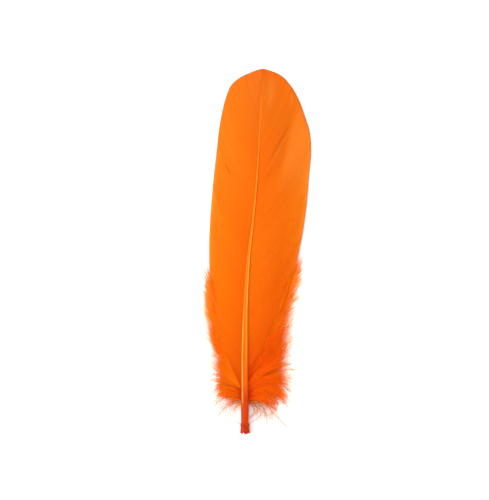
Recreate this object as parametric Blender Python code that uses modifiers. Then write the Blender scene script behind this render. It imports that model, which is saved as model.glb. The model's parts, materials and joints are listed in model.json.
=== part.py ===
"""A goose quill feather, lying with its outer face up on a flat surface.

The feather lies along Y with the cut end of its quill at -Y and its tip at +Y, and +Z is up. The quill
arches a little over the surface, and both vanes curve down from it to their outer edges. A feather grows as
one piece, so the quill, the vanes and the locks of down at their foot are fused into one closed solid.

A station is a distance along the feather from the cut end of the quill. Tables are in millimetres.
"""

import math
import random

import bmesh
import bpy
import numpy as np
from mathutils import Vector

MM = 0.001

# Driving dimensions, in millimetres.
HOLLOW_RADIUS = 1.5
HOLLOW_DEPTH = 12.0
VANE_THICKNESS = 0.75
QUILL_END = 176.5
QUILL_LEAST_RADIUS = 0.5

# The quill: station, sideways place, height of its axis, radius.
QUILL = (
    (0.0, -7.35, 2.30, 2.25),
    (5.0, -7.45, 2.35, 2.15),
    (14.0, -7.65, 2.60, 2.00),
    (26.0, -7.80, 3.05, 1.75),
    (46.0, -7.64, 4.00, 1.55),
    (66.0, -7.05, 4.95, 1.20),
    (89.0, -5.50, 5.75, 0.85),
    (107.0, -3.30, 5.95, 0.62),
    (130.0, -1.25, 5.30, 0.42),
    (155.0, 0.05, 3.55, 0.27),
    (180.0, 1.20, 1.00, 0.15),
)

# The outer edge of each vane, from its foot to the tip: sideways place, station.
LEFT_EDGE = (
    (-9.8, 22.6),
    (-11.6, 27.0),
    (-15.8, 36.0),
    (-19.3, 45.9),
    (-22.5, 55.7),
    (-24.2, 65.6),
    (-25.05, 80.4),
    (-25.25, 92.0),
    (-24.2, 112.4),
    (-21.9, 136.1),
    (-19.1, 157.1),
    (-16.8, 166.2),
    (-14.5, 171.6),
    (-9.8, 175.9),
    (-5.2, 177.7),
    (-0.6, 179.2),
    (0.8, 179.8),
)
RIGHT_EDGE = (
    (-5.6, 22.6),
    (-4.4, 27.4),
    (-2.5, 32.1),
    (0.9, 39.9),
    (4.9, 48.3),
    (8.8, 57.2),
    (12.6, 66.5),
    (17.2, 80.9),
    (20.2, 94.0),
    (22.6, 108.5),
    (24.2, 125.4),
    (25.25, 143.3),
    (24.4, 150.0),
    (22.3, 156.5),
    (19.2, 164.8),
    (15.7, 171.0),
    (10.6, 176.6),
    (3.4, 179.3),
    (1.9, 179.8),
)

# How a barb crosses its vane. Its chord leaves the quill's line at an angle that closes towards the tip,
# and it bows outwards by a share of its length.
BARB_ANGLE = ((20.0, 35.0), (60.0, 33.0), (150.0, 30.5), (172.0, 24.0), (180.0, 17.0))
BARB_BOW = 0.09
VANE_BELOW_AXIS = 0.1  # the rachis stands proud of the vanes; share of its radius
FIRST_ROOT = 19.5
LAST_ROOT = 178.6

# Height of the vanes' outer edges over the surface: station, height.
EDGE_HEIGHT = ((20.0, 2.2), (60.0, 1.7), (100.0, 1.1), (140.0, 0.75), (180.0, 0.75))

# How finely the quill and the grid of the vanes are drawn.
QUILL_RINGS = 44
VANE_ROWS = 46
VANE_COLUMNS_A_SIDE = 6

# Locks of down and loose barbs, from the lowest up: station of the root, then the tip's sideways place and
# station. The lowest stand out sideways from the quill; the higher ones lie along the vane and pass its edge.
LEFT_LOCKS = (
    (16.0, -20.6, 12.6),
    (17.0, -22.8, 17.0),
    (18.0, -24.0, 22.5),
    (19.2, -24.2, 29.5),
    (20.6, -23.8, 37.0),
    (22.4, -23.6, 44.0),
    (24.6, -23.8, 51.0),
    (29.0, -23.9, 58.5),
    (34.5, -24.1, 67.0),
    (40.5, -24.4, 75.0),
)
RIGHT_LOCKS = (
    (16.0, 11.4, 9.6),
    (16.9, 14.6, 13.6),
    (17.9, 16.2, 19.0),
    (19.1, 16.4, 26.0),
    (20.5, 15.8, 34.0),
    (22.2, 15.2, 42.5),
    (25.0, 15.2, 52.0),
    (32.0, 17.0, 63.5),
    (40.0, 19.8, 75.5),
    (49.0, 22.2, 87.0),
)
LOCKS_A_SIDE = 22
LOOSE_FROM = 34.0  # locks with a root above this leave the vane part of the way out
LOOSE_START = 0.35
LOCK_POINTS = 8
DOWN_RADIUS = 0.85
LOOSE_RADIUS = 0.6
LOCK_END_RADIUS = 0.12
LOCK_BOW = 0.1
LOCK_WAVE = 0.045
LOCK_SEED = 11


def through(rows, station):
    """The values at a station of the smooth curves through rows of (station, value, value ...)."""
    table = np.array(rows, float)
    places, values = table[:, 0], table[:, 1:]
    slopes = np.gradient(values, places, axis=0)
    i = int(np.clip(np.searchsorted(places, station) - 1, 0, len(places) - 2))
    gap = places[i + 1] - places[i]
    t = (np.clip(station, places[0], places[-1]) - places[i]) / gap
    return (
        (2 * t**3 - 3 * t**2 + 1) * values[i]
        + (t**3 - 2 * t**2 + t) * gap * slopes[i]
        + (3 * t**2 - 2 * t**3) * values[i + 1]
        + (t**3 - t**2) * gap * slopes[i + 1]
    )


def quill_at(station):
    """Sideways place, height and radius of the quill at a station."""
    return through(QUILL, station)


def edge_curve(edge, samples=240):
    """Points along a vane's outer edge, with the station where the barb of each point leaves the quill."""
    points = np.array(edge, float)
    steps = np.hypot(*np.diff(points, axis=0).T)
    walked = np.concatenate([[0.0], np.cumsum(steps)])
    rows = np.column_stack([walked, points])
    curve = []
    for distance in np.linspace(0.0, walked[-1], samples):
        x, station = through(rows, distance)
        width = abs(x - quill_at(station)[0])
        angle = math.radians(np.interp(station, *zip(*BARB_ANGLE)))
        curve.append((station - width / math.tan(angle), x, station))
    return np.array(curve)


EDGES = {-1: edge_curve(LEFT_EDGE), 1: edge_curve(RIGHT_EDGE)}
LOCKS = {-1: LEFT_LOCKS, 1: RIGHT_LOCKS}


def vane_point(side, root, share):
    """The point of a vane at a share of the way out along the barb that leaves the quill at root."""
    roots, edge_x, edge_station = EDGES[side].T
    quill_x, quill_z, radius = quill_at(root)
    start = Vector((quill_x, root))
    end = Vector((np.interp(root, roots, edge_x), np.interp(root, roots, edge_station)))
    chord = end - start
    outwards = Vector((chord.y, -chord.x)) * side
    middle = (start + end) / 2 + outwards * BARB_BOW
    flat = start * (1 - share) ** 2 + middle * 2 * share * (1 - share) + end * share**2
    root_height = quill_z - VANE_BELOW_AXIS * radius
    edge_height = np.interp(end.y, *zip(*EDGE_HEIGHT))
    height = edge_height + (root_height - edge_height) * (1 - share**2)
    return Vector((flat.x, flat.y, height)) * MM


def row_root(row):
    """The root of a row of the grid; rows stand closer at the foot, where a barb's root moves least."""
    return FIRST_ROOT + (LAST_ROOT - FIRST_ROOT) * row**1.3


def lock_radius(full, share):
    """A lock swells from its root and thins to its tip."""
    return LOCK_END_RADIUS + (full - LOCK_END_RADIUS) * math.sin(math.pi * (0.2 + 0.8 * share))


def down_lock(side, root, tip, rng):
    """A lock that springs from the quill and bows out to its tip in a slight wave."""
    x, height, _ = quill_at(root)
    start = Vector((x, root, height))
    chord = tip - start
    across = Vector((chord.y, -chord.x, 0.0)) * side
    lift = rng.uniform(-0.2, 1.3)
    phase = rng.uniform(0.0, math.tau)
    path = []
    for t in np.linspace(0.0, 1.0, LOCK_POINTS):
        bow = 4 * LOCK_BOW * t * (1 - t) + LOCK_WAVE * t * math.sin(math.tau * t + phase)
        place = start + chord * t + across * bow
        place.z = tip.z + (height - tip.z) * (1 - t**2) + lift * math.sin(math.pi * t)
        path.append((place, lock_radius(DOWN_RADIUS, t)))
    return path


def loose_lock(side, root, tip):
    """Barbs that have come loose: they lie in the vane at first, then part from it and pass its edge."""
    leaves = tip - vane_point(side, root, 1.0) / MM
    path = []
    for share in np.linspace(0.0, 1.0, LOCK_POINTS):
        along = LOOSE_START + (1.0 - LOOSE_START) * share
        place = vane_point(side, root, along) / MM + leaves * share**1.5
        path.append((place, lock_radius(LOOSE_RADIUS, share)))
    return path


def lock_path(side, rank, rng):
    """The points and radii of one lock, counted from the lowest."""
    rows = [(place, *row) for place, row in enumerate(LOCKS[side])]
    root, x, station = through(rows, rank / (LOCKS_A_SIDE - 1) * (len(rows) - 1))
    tip = Vector((x, station + rng.uniform(-1.0, 1.0), rng.uniform(0.95, 1.9)))
    if root > LOOSE_FROM:
        return loose_lock(side, root, tip)
    return down_lock(side, root, tip, rng)


def tubes(name, paths, sides_setting):
    """A mesh of round tubes, one along each path of (point, radius) pairs in millimetres."""
    curve = bpy.data.curves.new(name, "CURVE")
    curve.dimensions = "3D"
    curve.bevel_depth = MM
    curve.bevel_resolution = sides_setting
    curve.use_fill_caps = True
    for path in paths:
        spline = curve.splines.new("POLY")
        spline.points.add(len(path) - 1)
        for point, (place, radius) in zip(spline.points, path):
            point.co = (*(place * MM), 1.0)
            point.radius = radius
    drawn = bpy.data.objects.new(name + "_line", curve)
    bpy.context.scene.collection.objects.link(drawn)
    graph = bpy.context.evaluated_depsgraph_get()
    mesh = bpy.data.meshes.new_from_object(drawn.evaluated_get(graph))
    bpy.data.objects.remove(drawn)
    weld(mesh)
    return bpy.data.objects.new(name, mesh)


def weld(mesh, distance=0.000002):
    """Joins the vertices that lie on each other and turns every face outwards."""
    bm = bmesh.new()
    bm.from_mesh(mesh)
    bmesh.ops.remove_doubles(bm, verts=bm.verts, dist=distance)
    bmesh.ops.recalc_face_normals(bm, faces=bm.faces)
    bm.to_mesh(mesh)
    bm.free()


def quill():
    """The bare calamus and the rachis, as one tapering tube."""
    path = []
    for station in np.linspace(0.0, QUILL_END, QUILL_RINGS):
        x, z, radius = quill_at(station)
        path.append((Vector((x, station, z)), max(radius, QUILL_LEAST_RADIUS)))
    return tubes("quill", [path], 3)


def hollow():
    """The cutter for the open end of the calamus."""
    bm = bmesh.new()
    bmesh.ops.create_cone(
        bm, segments=12, cap_ends=True, radius1=HOLLOW_RADIUS * MM, radius2=0.7 * HOLLOW_RADIUS * MM,
        depth=2 * HOLLOW_DEPTH * MM,
    )
    mesh = bpy.data.meshes.new("hollow")
    bm.to_mesh(mesh)
    bm.free()
    cutter = bpy.data.objects.new("hollow", mesh)
    x, z, _ = quill_at(0.0)
    cutter.location = Vector((x, 0.0, z)) * MM
    cutter.rotation_euler = (math.radians(-90), 0.0, 0.0)
    return cutter


def vanes():
    """Both vanes as one curved sheet, drawn on a grid whose rows run out along the barbs."""
    bm = bmesh.new()
    bmesh.ops.create_grid(
        bm, x_segments=2 * VANE_COLUMNS_A_SIDE, y_segments=VANE_ROWS, size=1.0
    )
    for vertex in bm.verts:
        side = 1 if vertex.co.x > 0 else -1
        root = row_root((vertex.co.y + 1) / 2)
        vertex.co = vane_point(side, root, abs(vertex.co.x))
    mesh = bpy.data.meshes.new("vanes")
    bm.to_mesh(mesh)
    bm.free()
    sheet = bpy.data.objects.new("vanes", mesh)
    wall = sheet.modifiers.new("thickness", "SOLIDIFY")
    wall.thickness = VANE_THICKNESS * MM
    wall.offset = 0.0
    return sheet


def locks():
    """All the locks of down, each a tube that thins to its tip."""
    rng = random.Random(LOCK_SEED)
    paths = [lock_path(side, rank, rng) for side in (-1, 1) for rank in range(LOCKS_A_SIDE)]
    return tubes("locks", paths, 1)


def boolean(target, operation, other, own_overlaps=False):
    step = target.modifiers.new(other.name, "BOOLEAN")
    step.operation = operation
    step.solver = "EXACT"
    step.object = other
    step.use_self = own_overlaps


def feather_material():
    material = bpy.data.materials.new("dyed_feather")
    material.use_nodes = True
    shader = material.node_tree.nodes["Principled BSDF"]
    shader.inputs["Base Color"].default_value = (0.95, 0.16, 0.01, 1.0)
    shader.inputs["Roughness"].default_value = 0.6
    shader.inputs["Metallic"].default_value = 0.0
    return material


def fuse(name, body, cutters, others):
    """Bores the body, joins the others to it, and stands the result on the surface over the origin."""
    for cutter in cutters:
        boolean(body, "DIFFERENCE", cutter)
    for other in others:
        boolean(body, "UNION", other, own_overlaps=True)
    bpy.context.view_layer.update()
    graph = bpy.context.evaluated_depsgraph_get()
    mesh = bpy.data.meshes.new_from_object(body.evaluated_get(graph))
    mesh.name = name
    weld(mesh)
    corners = np.array([vertex.co for vertex in mesh.vertices])
    low, high = corners.min(axis=0), corners.max(axis=0)
    middle = (low + high) / 2
    for vertex in mesh.vertices:
        vertex.co -= Vector((middle[0], middle[1], low[2]))
    return bpy.data.objects.new(name, mesh)


def main():
    for thing in list(bpy.data.objects):
        bpy.data.objects.remove(thing)
    collection = bpy.data.collections.new("Goose feather")
    helpers = bpy.data.collections.new("Cutters")
    for each in (collection, helpers):
        bpy.context.scene.collection.children.link(each)
    body, bore, sheet, down = quill(), hollow(), vanes(), locks()
    for each in (body, bore, sheet, down):
        helpers.objects.link(each)
        each.hide_render = True
        each.display_type = "WIRE"
    feather = fuse("goose_feather", body, [bore], [sheet, down])
    for each in (body, bore, sheet, down):
        bpy.data.objects.remove(each)
    bpy.data.collections.remove(helpers)
    collection.objects.link(feather)
    feather.data.materials.clear()
    feather.data.materials.append(feather_material())
    feather.data.shade_smooth()
    feather.data.set_sharp_from_angle(angle=math.radians(50))


main()
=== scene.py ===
# %% [markdown]
# A single goose feather, dyed orange, seen from straight above as it lies on a white surface.
#
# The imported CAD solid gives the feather's true size and main forms: the quill, the two vanes, the locks of
# down at their foot. This lesson lays the fine structure on the same curves: every barb of the vanes, the
# ridges of the quill, the loose barbs and the down. A feather is one grown piece, so every mesh made here
# stands for the one CAD node, and rides on the one body.

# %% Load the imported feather
import json
import math
import random

import bmesh
import bpy
import numpy as np
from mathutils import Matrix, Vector

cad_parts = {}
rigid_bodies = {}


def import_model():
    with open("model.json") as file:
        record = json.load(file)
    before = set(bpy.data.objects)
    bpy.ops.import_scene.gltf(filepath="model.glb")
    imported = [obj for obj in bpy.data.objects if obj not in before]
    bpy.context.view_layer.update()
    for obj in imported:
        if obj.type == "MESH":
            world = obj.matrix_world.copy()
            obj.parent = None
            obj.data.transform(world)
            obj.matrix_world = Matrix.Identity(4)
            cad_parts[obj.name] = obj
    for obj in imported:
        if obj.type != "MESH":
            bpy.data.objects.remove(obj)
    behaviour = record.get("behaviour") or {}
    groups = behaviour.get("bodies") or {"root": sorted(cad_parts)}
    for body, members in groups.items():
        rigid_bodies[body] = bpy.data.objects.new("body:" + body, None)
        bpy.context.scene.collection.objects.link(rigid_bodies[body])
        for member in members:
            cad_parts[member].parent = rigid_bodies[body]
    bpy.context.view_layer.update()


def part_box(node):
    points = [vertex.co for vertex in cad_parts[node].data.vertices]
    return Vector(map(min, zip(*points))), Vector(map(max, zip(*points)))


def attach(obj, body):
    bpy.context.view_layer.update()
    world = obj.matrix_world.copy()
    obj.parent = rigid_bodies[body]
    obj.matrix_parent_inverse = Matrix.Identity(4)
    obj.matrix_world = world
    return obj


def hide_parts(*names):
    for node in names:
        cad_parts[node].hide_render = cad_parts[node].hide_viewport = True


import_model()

MM = 0.001

# %% [markdown]
# The picture was taken from straight above, from far enough away that the feather's height changes nothing.
# A camera with a long lens does the same. At this height one picture row is 0.493 mm on the surface, and
# the quill's line stands a little left of the frame's middle.

# %% Camera
FRAME_HEIGHT = 246.6 * MM
FRAME_MIDDLE = Vector((-7.73, 0.32)) * MM
HALFWAY_UP = 2.5 * MM  # the height at which the picture's scale holds
LENS = 100.0
FILM = 36.0  # its longer side, which takes the picture's height


def put_in_scene(name, data):
    """An object for a camera, a light, a mesh or a curve."""
    thing = bpy.data.objects.new(name, data)
    bpy.context.scene.collection.objects.link(thing)
    return thing


eye = bpy.data.cameras.new("eye")
eye.lens = LENS
eye.sensor_width = FILM
eye_stand = put_in_scene("eye", eye)
eye_stand.location = (*FRAME_MIDDLE, HALFWAY_UP + FRAME_HEIGHT * LENS / FILM)
bpy.context.scene.camera = eye_stand
print("camera height in mm:", round(eye_stand.location.z / MM, 1))

# %% [markdown]
# The feather lies on something plain, white and matt. A single flat square does for it, so large that its
# edge is never in the picture. It isn't part of the feather.

# %% White surface
SURFACE_REACH = 1.5  # metres from the middle to each side
WHITE = (0.97, 0.97, 0.97, 1.0)
MATT = 0.9

bm = bmesh.new()
bmesh.ops.create_grid(bm, x_segments=1, y_segments=1, size=SURFACE_REACH)
surface_mesh = bpy.data.meshes.new("surface")
bm.to_mesh(surface_mesh)
bm.free()
surface = put_in_scene("surface", surface_mesh)

white = bpy.data.materials.new("white_surface")
white.use_nodes = True
white.node_tree.nodes["Principled BSDF"].inputs["Base Color"].default_value = WHITE
white.node_tree.nodes["Principled BSDF"].inputs["Roughness"].default_value = MATT
surface_mesh.materials.append(white)
print("surface is", 2 * SURFACE_REACH, "m wide")

# %% [markdown]
# The light of such a picture is wide and soft, and comes mostly from the upper left: the left edges are
# bright, and the shade lies right of the quill. One large panel gives that side, and a pale world fills in
# from everywhere else. A narrow upright panel low on the left draws the thin bright line that a glossy quill
# shows. The view is set to Standard, because a film-like view would grey the strong dye.

# %% Light
AMBIENT = 1.06
# Name, place in metres, width and height of the panel, watts.
LIGHTS = (
    ("key", (-0.42, 0.30, 0.66), 0.50, 0.50, 2.5),
    ("side_strip", (-0.50, -0.05, 0.36), 0.012, 0.60, 1.3),
)
for name, place, across, up, watts in LIGHTS:
    panel = bpy.data.lights.new(name, "AREA")
    panel.shape = "RECTANGLE"
    panel.size, panel.size_y = across, up
    panel.energy = watts
    stand = put_in_scene(name, panel)
    stand.location = place
    stand.rotation_euler = (-Vector(place)).to_track_quat("-Z", "Y").to_euler()
    print(name, "stands", round(Vector(place).length, 2), "m from the feather")

world = bpy.data.worlds.new("studio")
world.use_nodes = True
world.node_tree.nodes["Background"].inputs["Color"].default_value = (1.0, 1.0, 1.0, 1.0)
world.node_tree.nodes["Background"].inputs["Strength"].default_value = AMBIENT
bpy.context.scene.world = world
bpy.context.scene.view_settings.view_transform = "Standard"

# %% [markdown]
# Every part of a feather follows the quill, so all shapes below are written in the feather's own terms. A
# station is a distance along the feather from the cut end of the quill, and x is a distance sideways, both
# in millimetres. The tables repeat the ones of the CAD source: the quill's line, height and radius, and the
# outer edge of each vane.
#
# The CAD stands the feather with the middle of its box over the origin, so a point of these tables moves by
# one fixed step to come to its place in the model.

# %% The feather's lines
TO_MODEL = np.array([-0.04, -89.93, -0.16])
FEATHER_LENGTH = 180.0 * MM
LEFT, RIGHT = -1, 1

# Station, sideways place, height of the axis, radius.
QUILL = (
    (0.0, -7.35, 2.30, 2.25),
    (5.0, -7.45, 2.35, 2.15),
    (14.0, -7.65, 2.60, 2.00),
    (26.0, -7.80, 3.05, 1.75),
    (46.0, -7.64, 4.00, 1.55),
    (66.0, -7.05, 4.95, 1.20),
    (89.0, -5.50, 5.75, 0.85),
    (107.0, -3.30, 5.95, 0.62),
    (130.0, -1.25, 5.30, 0.42),
    (155.0, 0.05, 3.55, 0.27),
    (180.0, 1.20, 1.00, 0.15),
)
# Outer edges: sideways place, station.
LEFT_EDGE = (
    (-9.8, 22.6), (-11.6, 27.0), (-15.8, 36.0), (-19.3, 45.9), (-22.5, 55.7), (-24.2, 65.6),
    (-25.05, 80.4), (-25.25, 92.0), (-24.2, 112.4), (-21.9, 136.1), (-19.1, 157.1), (-16.8, 166.2),
    (-14.5, 171.6), (-9.8, 175.8), (-5.2, 177.9), (-0.9, 179.5), (0.3, 179.8), (1.25, 179.86),
)
RIGHT_EDGE = (
    (-5.6, 22.6), (-4.4, 27.4), (-2.5, 32.1), (0.9, 39.9), (4.9, 48.3), (8.8, 57.2), (12.6, 66.5),
    (17.2, 80.9), (20.2, 94.0), (22.6, 108.5), (24.2, 125.4), (25.25, 143.3), (24.4, 150.0),
    (22.3, 156.5), (19.2, 164.8), (15.7, 171.0), (10.6, 176.5), (3.8, 179.4), (2.2, 179.8), (1.3, 179.86),
)
# Station, then degrees between a barb and the quill, or the height of the vane's edge.
BARB_ANGLE = ((20.0, 35.0), (60.0, 33.0), (150.0, 30.5), (172.0, 24.0), (180.0, 17.0))
EDGE_HEIGHT = ((20.0, 2.2), (60.0, 1.7), (100.0, 1.1), (140.0, 0.75), (180.0, 0.75))
BARB_BOW = 0.09  # how far the middle of a barb's curve is pulled outwards, as a share of its length
VANE_BELOW_AXIS = 0.1  # how far below its axis the vanes leave the quill, as a share of its radius

box_low, box_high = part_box("goose_feather")
print("cut end and tip in the model, mm:", round(box_low.y / MM, 2), round(box_high.y / MM, 2))

# %% [markdown]
# A smooth curve runs through the rows of each table, so a shape may ask for any station in between. On top
# of that comes the one call that all the rest stands on: where does a barb that leaves the quill at some
# station lie, a given share of its way out? The real barb is a shallow bow, so the answer is a curve with one
# bend, and the vane sinks from the quill to its edge along a second one.

# %% Read the lines
EDGE_SAMPLES = 240


def through(rows, station):
    """The values at some stations of the smooth curves through rows of (station, value, value ...)."""
    table = np.array(rows, float)
    places, values = table[:, 0], table[:, 1:]
    slopes = np.gradient(values, places, axis=0)
    at = np.clip(np.asarray(station, float), places[0], places[-1])
    i = np.clip(np.searchsorted(places, at) - 1, 0, len(places) - 2)
    gap = (places[i + 1] - places[i])[..., None]
    t = (at - places[i])[..., None] / gap
    return (
        (2 * t**3 - 3 * t**2 + 1) * values[i]
        + (t**3 - 2 * t**2 + t) * gap * slopes[i]
        + (3 * t**2 - 2 * t**3) * values[i + 1]
        + (t**3 - t**2) * gap * slopes[i + 1]
    )


def between(rows, station):
    """The value at some stations on the straight lines between rows of (station, value)."""
    return np.interp(station, *zip(*rows))


def quill_at(station):
    """Sideways place, height and radius of the quill at some stations."""
    return np.moveaxis(through(QUILL, station), -1, 0)


def edge_curve(edge):
    """Points along a vane's outer edge, each with the station where its barb leaves the quill."""
    points = np.array(edge, float)
    walked = np.concatenate([[0.0], np.cumsum(np.hypot(*np.diff(points, axis=0).T))])
    steps = np.linspace(0.0, walked[-1], EDGE_SAMPLES)
    x, station = through(np.column_stack([walked, points]), steps).T
    angle = np.radians(between(BARB_ANGLE, station))
    return station - np.abs(x - quill_at(station)[0]) / np.tan(angle), x, station


EDGES = {LEFT: edge_curve(LEFT_EDGE), RIGHT: edge_curve(RIGHT_EDGE)}


def vane_points(side, root, share):
    """Points of a vane in mm, each a share of the way out along the barb that leaves the quill at root."""
    roots, edge_x, edge_station = EDGES[side]
    quill_x, quill_z, radius = quill_at(root)
    start = np.stack([quill_x, root], -1)
    end = np.stack([np.interp(root, roots, edge_x), np.interp(root, roots, edge_station)], -1)
    chord = end - start
    outwards = np.stack([chord[..., 1], -chord[..., 0]], -1) * side
    middle = (start + end) / 2 + outwards * BARB_BOW
    t = share[..., None]
    flat = start * (1 - t) ** 2 + middle * 2 * t * (1 - t) + end * t**2
    root_height = quill_z - VANE_BELOW_AXIS * radius
    edge_height = between(EDGE_HEIGHT, end[..., 1])
    height = edge_height + (root_height - edge_height) * (1 - share**2)
    return np.concatenate([flat, height[..., None]], -1)


print("tip by the tables, mm:", round(float(EDGES[RIGHT][2].max() + TO_MODEL[1]), 2))

# %% [markdown]
# Colours are written as a screen shows them, two hex digits each for red, green and blue, because that is
# how one reads them off a picture. A shader counts light itself, so each goes through the screen's curve,
# which is nearly a power of 2.4.
#
# The helpers below are for node trees. A node is added with its settings, and a wire runs from an output to
# an input. A ramp turns a number into a colour: its stops are a few places with a colour each.

# %% Helpers for the dye
def dye(hex_colour):
    """A screen colour as the light a shader works with."""
    shares = [int(hex_colour[i : i + 2], 16) / 255 for i in (0, 2, 4)]
    return (*[s / 12.92 if s <= 0.04045 else ((s + 0.055) / 1.055) ** 2.4 for s in shares], 1.0)


def new_finish(name, roughness, specular):
    """A material, the tree to add nodes to, and its shader."""
    finish = bpy.data.materials.new(name)
    finish.use_nodes = True
    shader = finish.node_tree.nodes["Principled BSDF"]
    shader.inputs["Roughness"].default_value = roughness
    shader.inputs["Specular IOR Level"].default_value = specular
    return finish, finish.node_tree, shader


def wire(tree, value, socket):
    """Feeds a socket with an output, a hex colour or a plain number."""
    if isinstance(value, str):
        socket.default_value = dye(value)
    elif isinstance(value, (int, float)):
        socket.default_value = value
    else:
        tree.links.new(value, socket)


def ramp(tree, number, stops):
    """The colours of some stops, read at a number. A stop may also be a plain share from 0 to 1."""
    node = tree.nodes.new("ShaderNodeValToRGB")
    node.color_ramp.interpolation = "EASE"
    elements = node.color_ramp.elements
    while len(elements) < len(stops):
        elements.new(0.5)
    for element, (place, colour) in zip(elements, stops):
        element.position = place
        element.color = dye(colour) if isinstance(colour, str) else (colour, colour, colour, 1.0)
    wire(tree, number, node.inputs["Fac"])
    return node.outputs["Color"]


def sums(tree, operation, first, second):
    """One step of arithmetic on outputs or plain numbers."""
    node = tree.nodes.new("ShaderNodeMath")
    node.operation = operation
    wire(tree, first, node.inputs[0])
    wire(tree, second, node.inputs[1])
    return node.outputs[0]


def times(tree, first, second):
    return sums(tree, "MULTIPLY", first, second)


def minus(tree, first, second):
    return sums(tree, "SUBTRACT", first, second)


def blend(tree, share, under, over):
    """Two colours mixed by a share. Each is an output or a hex colour."""
    node = tree.nodes.new("ShaderNodeMix")
    node.data_type = "RGBA"
    factor, first, second = node.inputs[0], node.inputs[6], node.inputs[7]
    wire(tree, share, factor)
    wire(tree, under, first)
    wire(tree, over, second)
    return node.outputs[2]


print("the dye's orange as light:", [round(share, 3) for share in dye("FF7A14")[:3]])

# %% [markdown]
# A pattern has to stay on the feather when the camera moves, so it reads where a point is on the piece. There
# are three ways here: the piece's own map, numbers that its mesh carries, and its object coordinates, which
# are the same on every piece because all of them sit at the origin. Noise on any of these gives the grain.

# %% Helpers for places on a piece
def laid_out(tree):
    """The piece's own map: how far out, how far along, and both together."""
    own_map = tree.nodes.new("ShaderNodeUVMap")
    own_map.uv_map = "UVMap"
    split = tree.nodes.new("ShaderNodeSeparateXYZ")
    wire(tree, own_map.outputs["UV"], split.inputs[0])
    return split.outputs["X"], split.outputs["Y"], own_map.outputs["UV"]


def object_place(tree):
    return tree.nodes.new("ShaderNodeTexCoord").outputs["Object"]


def along_feather(tree, place):
    """The share of the way from the cut end of the quill to the tip, at an object coordinate."""
    split = tree.nodes.new("ShaderNodeSeparateXYZ")
    wire(tree, place, split.inputs[0])
    return sums(tree, "DIVIDE", minus(tree, split.outputs["Y"], box_low.y), FEATHER_LENGTH)


def attribute(tree, label):
    """A number that the mesh carries at each vertex."""
    node = tree.nodes.new("ShaderNodeAttribute")
    node.attribute_name = label
    return node.outputs["Fac"]


def grain(tree, vector, stretch, detail):
    """Noise from 0 to 1. The larger the stretch along a direction, the finer it is that way."""
    mapping = tree.nodes.new("ShaderNodeMapping")
    mapping.inputs["Scale"].default_value = stretch
    wire(tree, vector, mapping.inputs["Vector"])
    noise = tree.nodes.new("ShaderNodeTexNoise")
    noise.inputs["Scale"].default_value = 1.0
    noise.inputs["Detail"].default_value = detail
    wire(tree, mapping.outputs["Vector"], noise.inputs["Vector"])
    return noise.outputs["Fac"]


def bump(tree, shader, height, strength, distance):
    """Bends the shading as if the surface stood up by some height, at most a distance in metres."""
    node = tree.nodes.new("ShaderNodeBump")
    node.inputs["Strength"].default_value = strength
    node.inputs["Distance"].default_value = distance
    wire(tree, height, node.inputs["Height"])
    wire(tree, node.outputs["Normal"], shader.inputs["Normal"])


print("patterns run along", round(FEATHER_LENGTH / MM), "mm of feather")

# %% [markdown]
# A vane looks like a sheet, but it is some three hundred thin barbs side by side, hooked to each other by
# barbules too fine to see. Its satin comes from that: each barb is a small ridge, and the light breaks on
# every one of them. Three hundred separate blades would leak light between them and triple the mesh.
#
# So a vane is one grid whose lines run out along the barbs, with four lines to a barb: groove, flank, ridge,
# flank. Lifting the ridges draws every barb. At the outer edge the ridges reach a little further than the
# grooves, so the edge is a fine comb, as the real one is. Towards the foot the comb opens, because there the
# barbs come loose from each other.

# %% The grid of a vane
BARBS = 320
LINES_A_BARB = 4
STEPS_OUT = 24


def vertex_places(mesh):
    """Where the vertices of a mesh are, one row each."""
    places = np.zeros(len(mesh.vertices) * 3)
    mesh.vertices.foreach_get("co", places)
    return places.reshape(-1, 3)


def barb_grid():
    """The grid, and for each of its vertices the place counted in barbs and the share of the way out."""
    lines = BARBS * LINES_A_BARB
    bm = bmesh.new()
    bmesh.ops.create_grid(bm, x_segments=STEPS_OUT, y_segments=lines, size=0.5)
    mesh = bpy.data.meshes.new("vane_grid")
    bm.to_mesh(mesh)
    bm.free()
    places = vertex_places(mesh) + 0.5
    return mesh, np.rint(places[:, 1] * lines) / LINES_A_BARB, places[:, 0]


grid_mesh, barb_place, step_share = barb_grid()
print("vertices on a vane's grid:", len(grid_mesh.vertices), "faces:", len(grid_mesh.polygons))

# %% [markdown]
# No vane is perfectly even. Light on this one shows a long soft fold in the outer right vane, a seam where
# barbs have parted and slid over each other, a short slit near the left edge, and slow waves all over. Each
# but the last is a line on the vane, so one helper says how far a point is from a line and how far along.

# %% Folds, seams and the slit
FOLD = ((8.2, 123.0), (18.4, 164.0))
SEAM = ((4.2, 132.0), (14.6, 151.5))
SEAM_LOW = ((2.8, 124.0), (7.0, 132.6))
SLIT = ((-14.3, 127.0), (-17.4, 133.4))
# Over how much of its length a line fades at each end.
FOLD_FADES, SEAM_FADES, SLIT_FADES = 0.35, 0.3, 0.18

WAVE_HEIGHT = 0.16
WAVE_ALONG, WAVE_SLANT, WAVE_ACROSS = 11.0, 9.0, 5.5  # the larger, the longer the waves that way
FOLD_DEPTH, FOLD_WIDTH = 0.55, 3.0
SEAM_LIFTS = ((SEAM, 0.30), (SEAM_LOW, 0.14))
LOWER_LIP = 0.35  # the lip left of a seam is lower than the one at its right
LOWER_LIP_FALLS, UPPER_LIP_FALLS = 0.35, 2.4  # mm over which each sinks back into the vane
SLIT_DEPTH, SLIT_WIDTH = 0.28, 0.28


def smooth_step(value, low, high):
    """0 up to the low limit, 1 from the high one, and an S-curve between them."""
    t = np.clip((value - low) / (high - low), 0.0, 1.0)
    return t * t * (3 - 2 * t)


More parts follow.
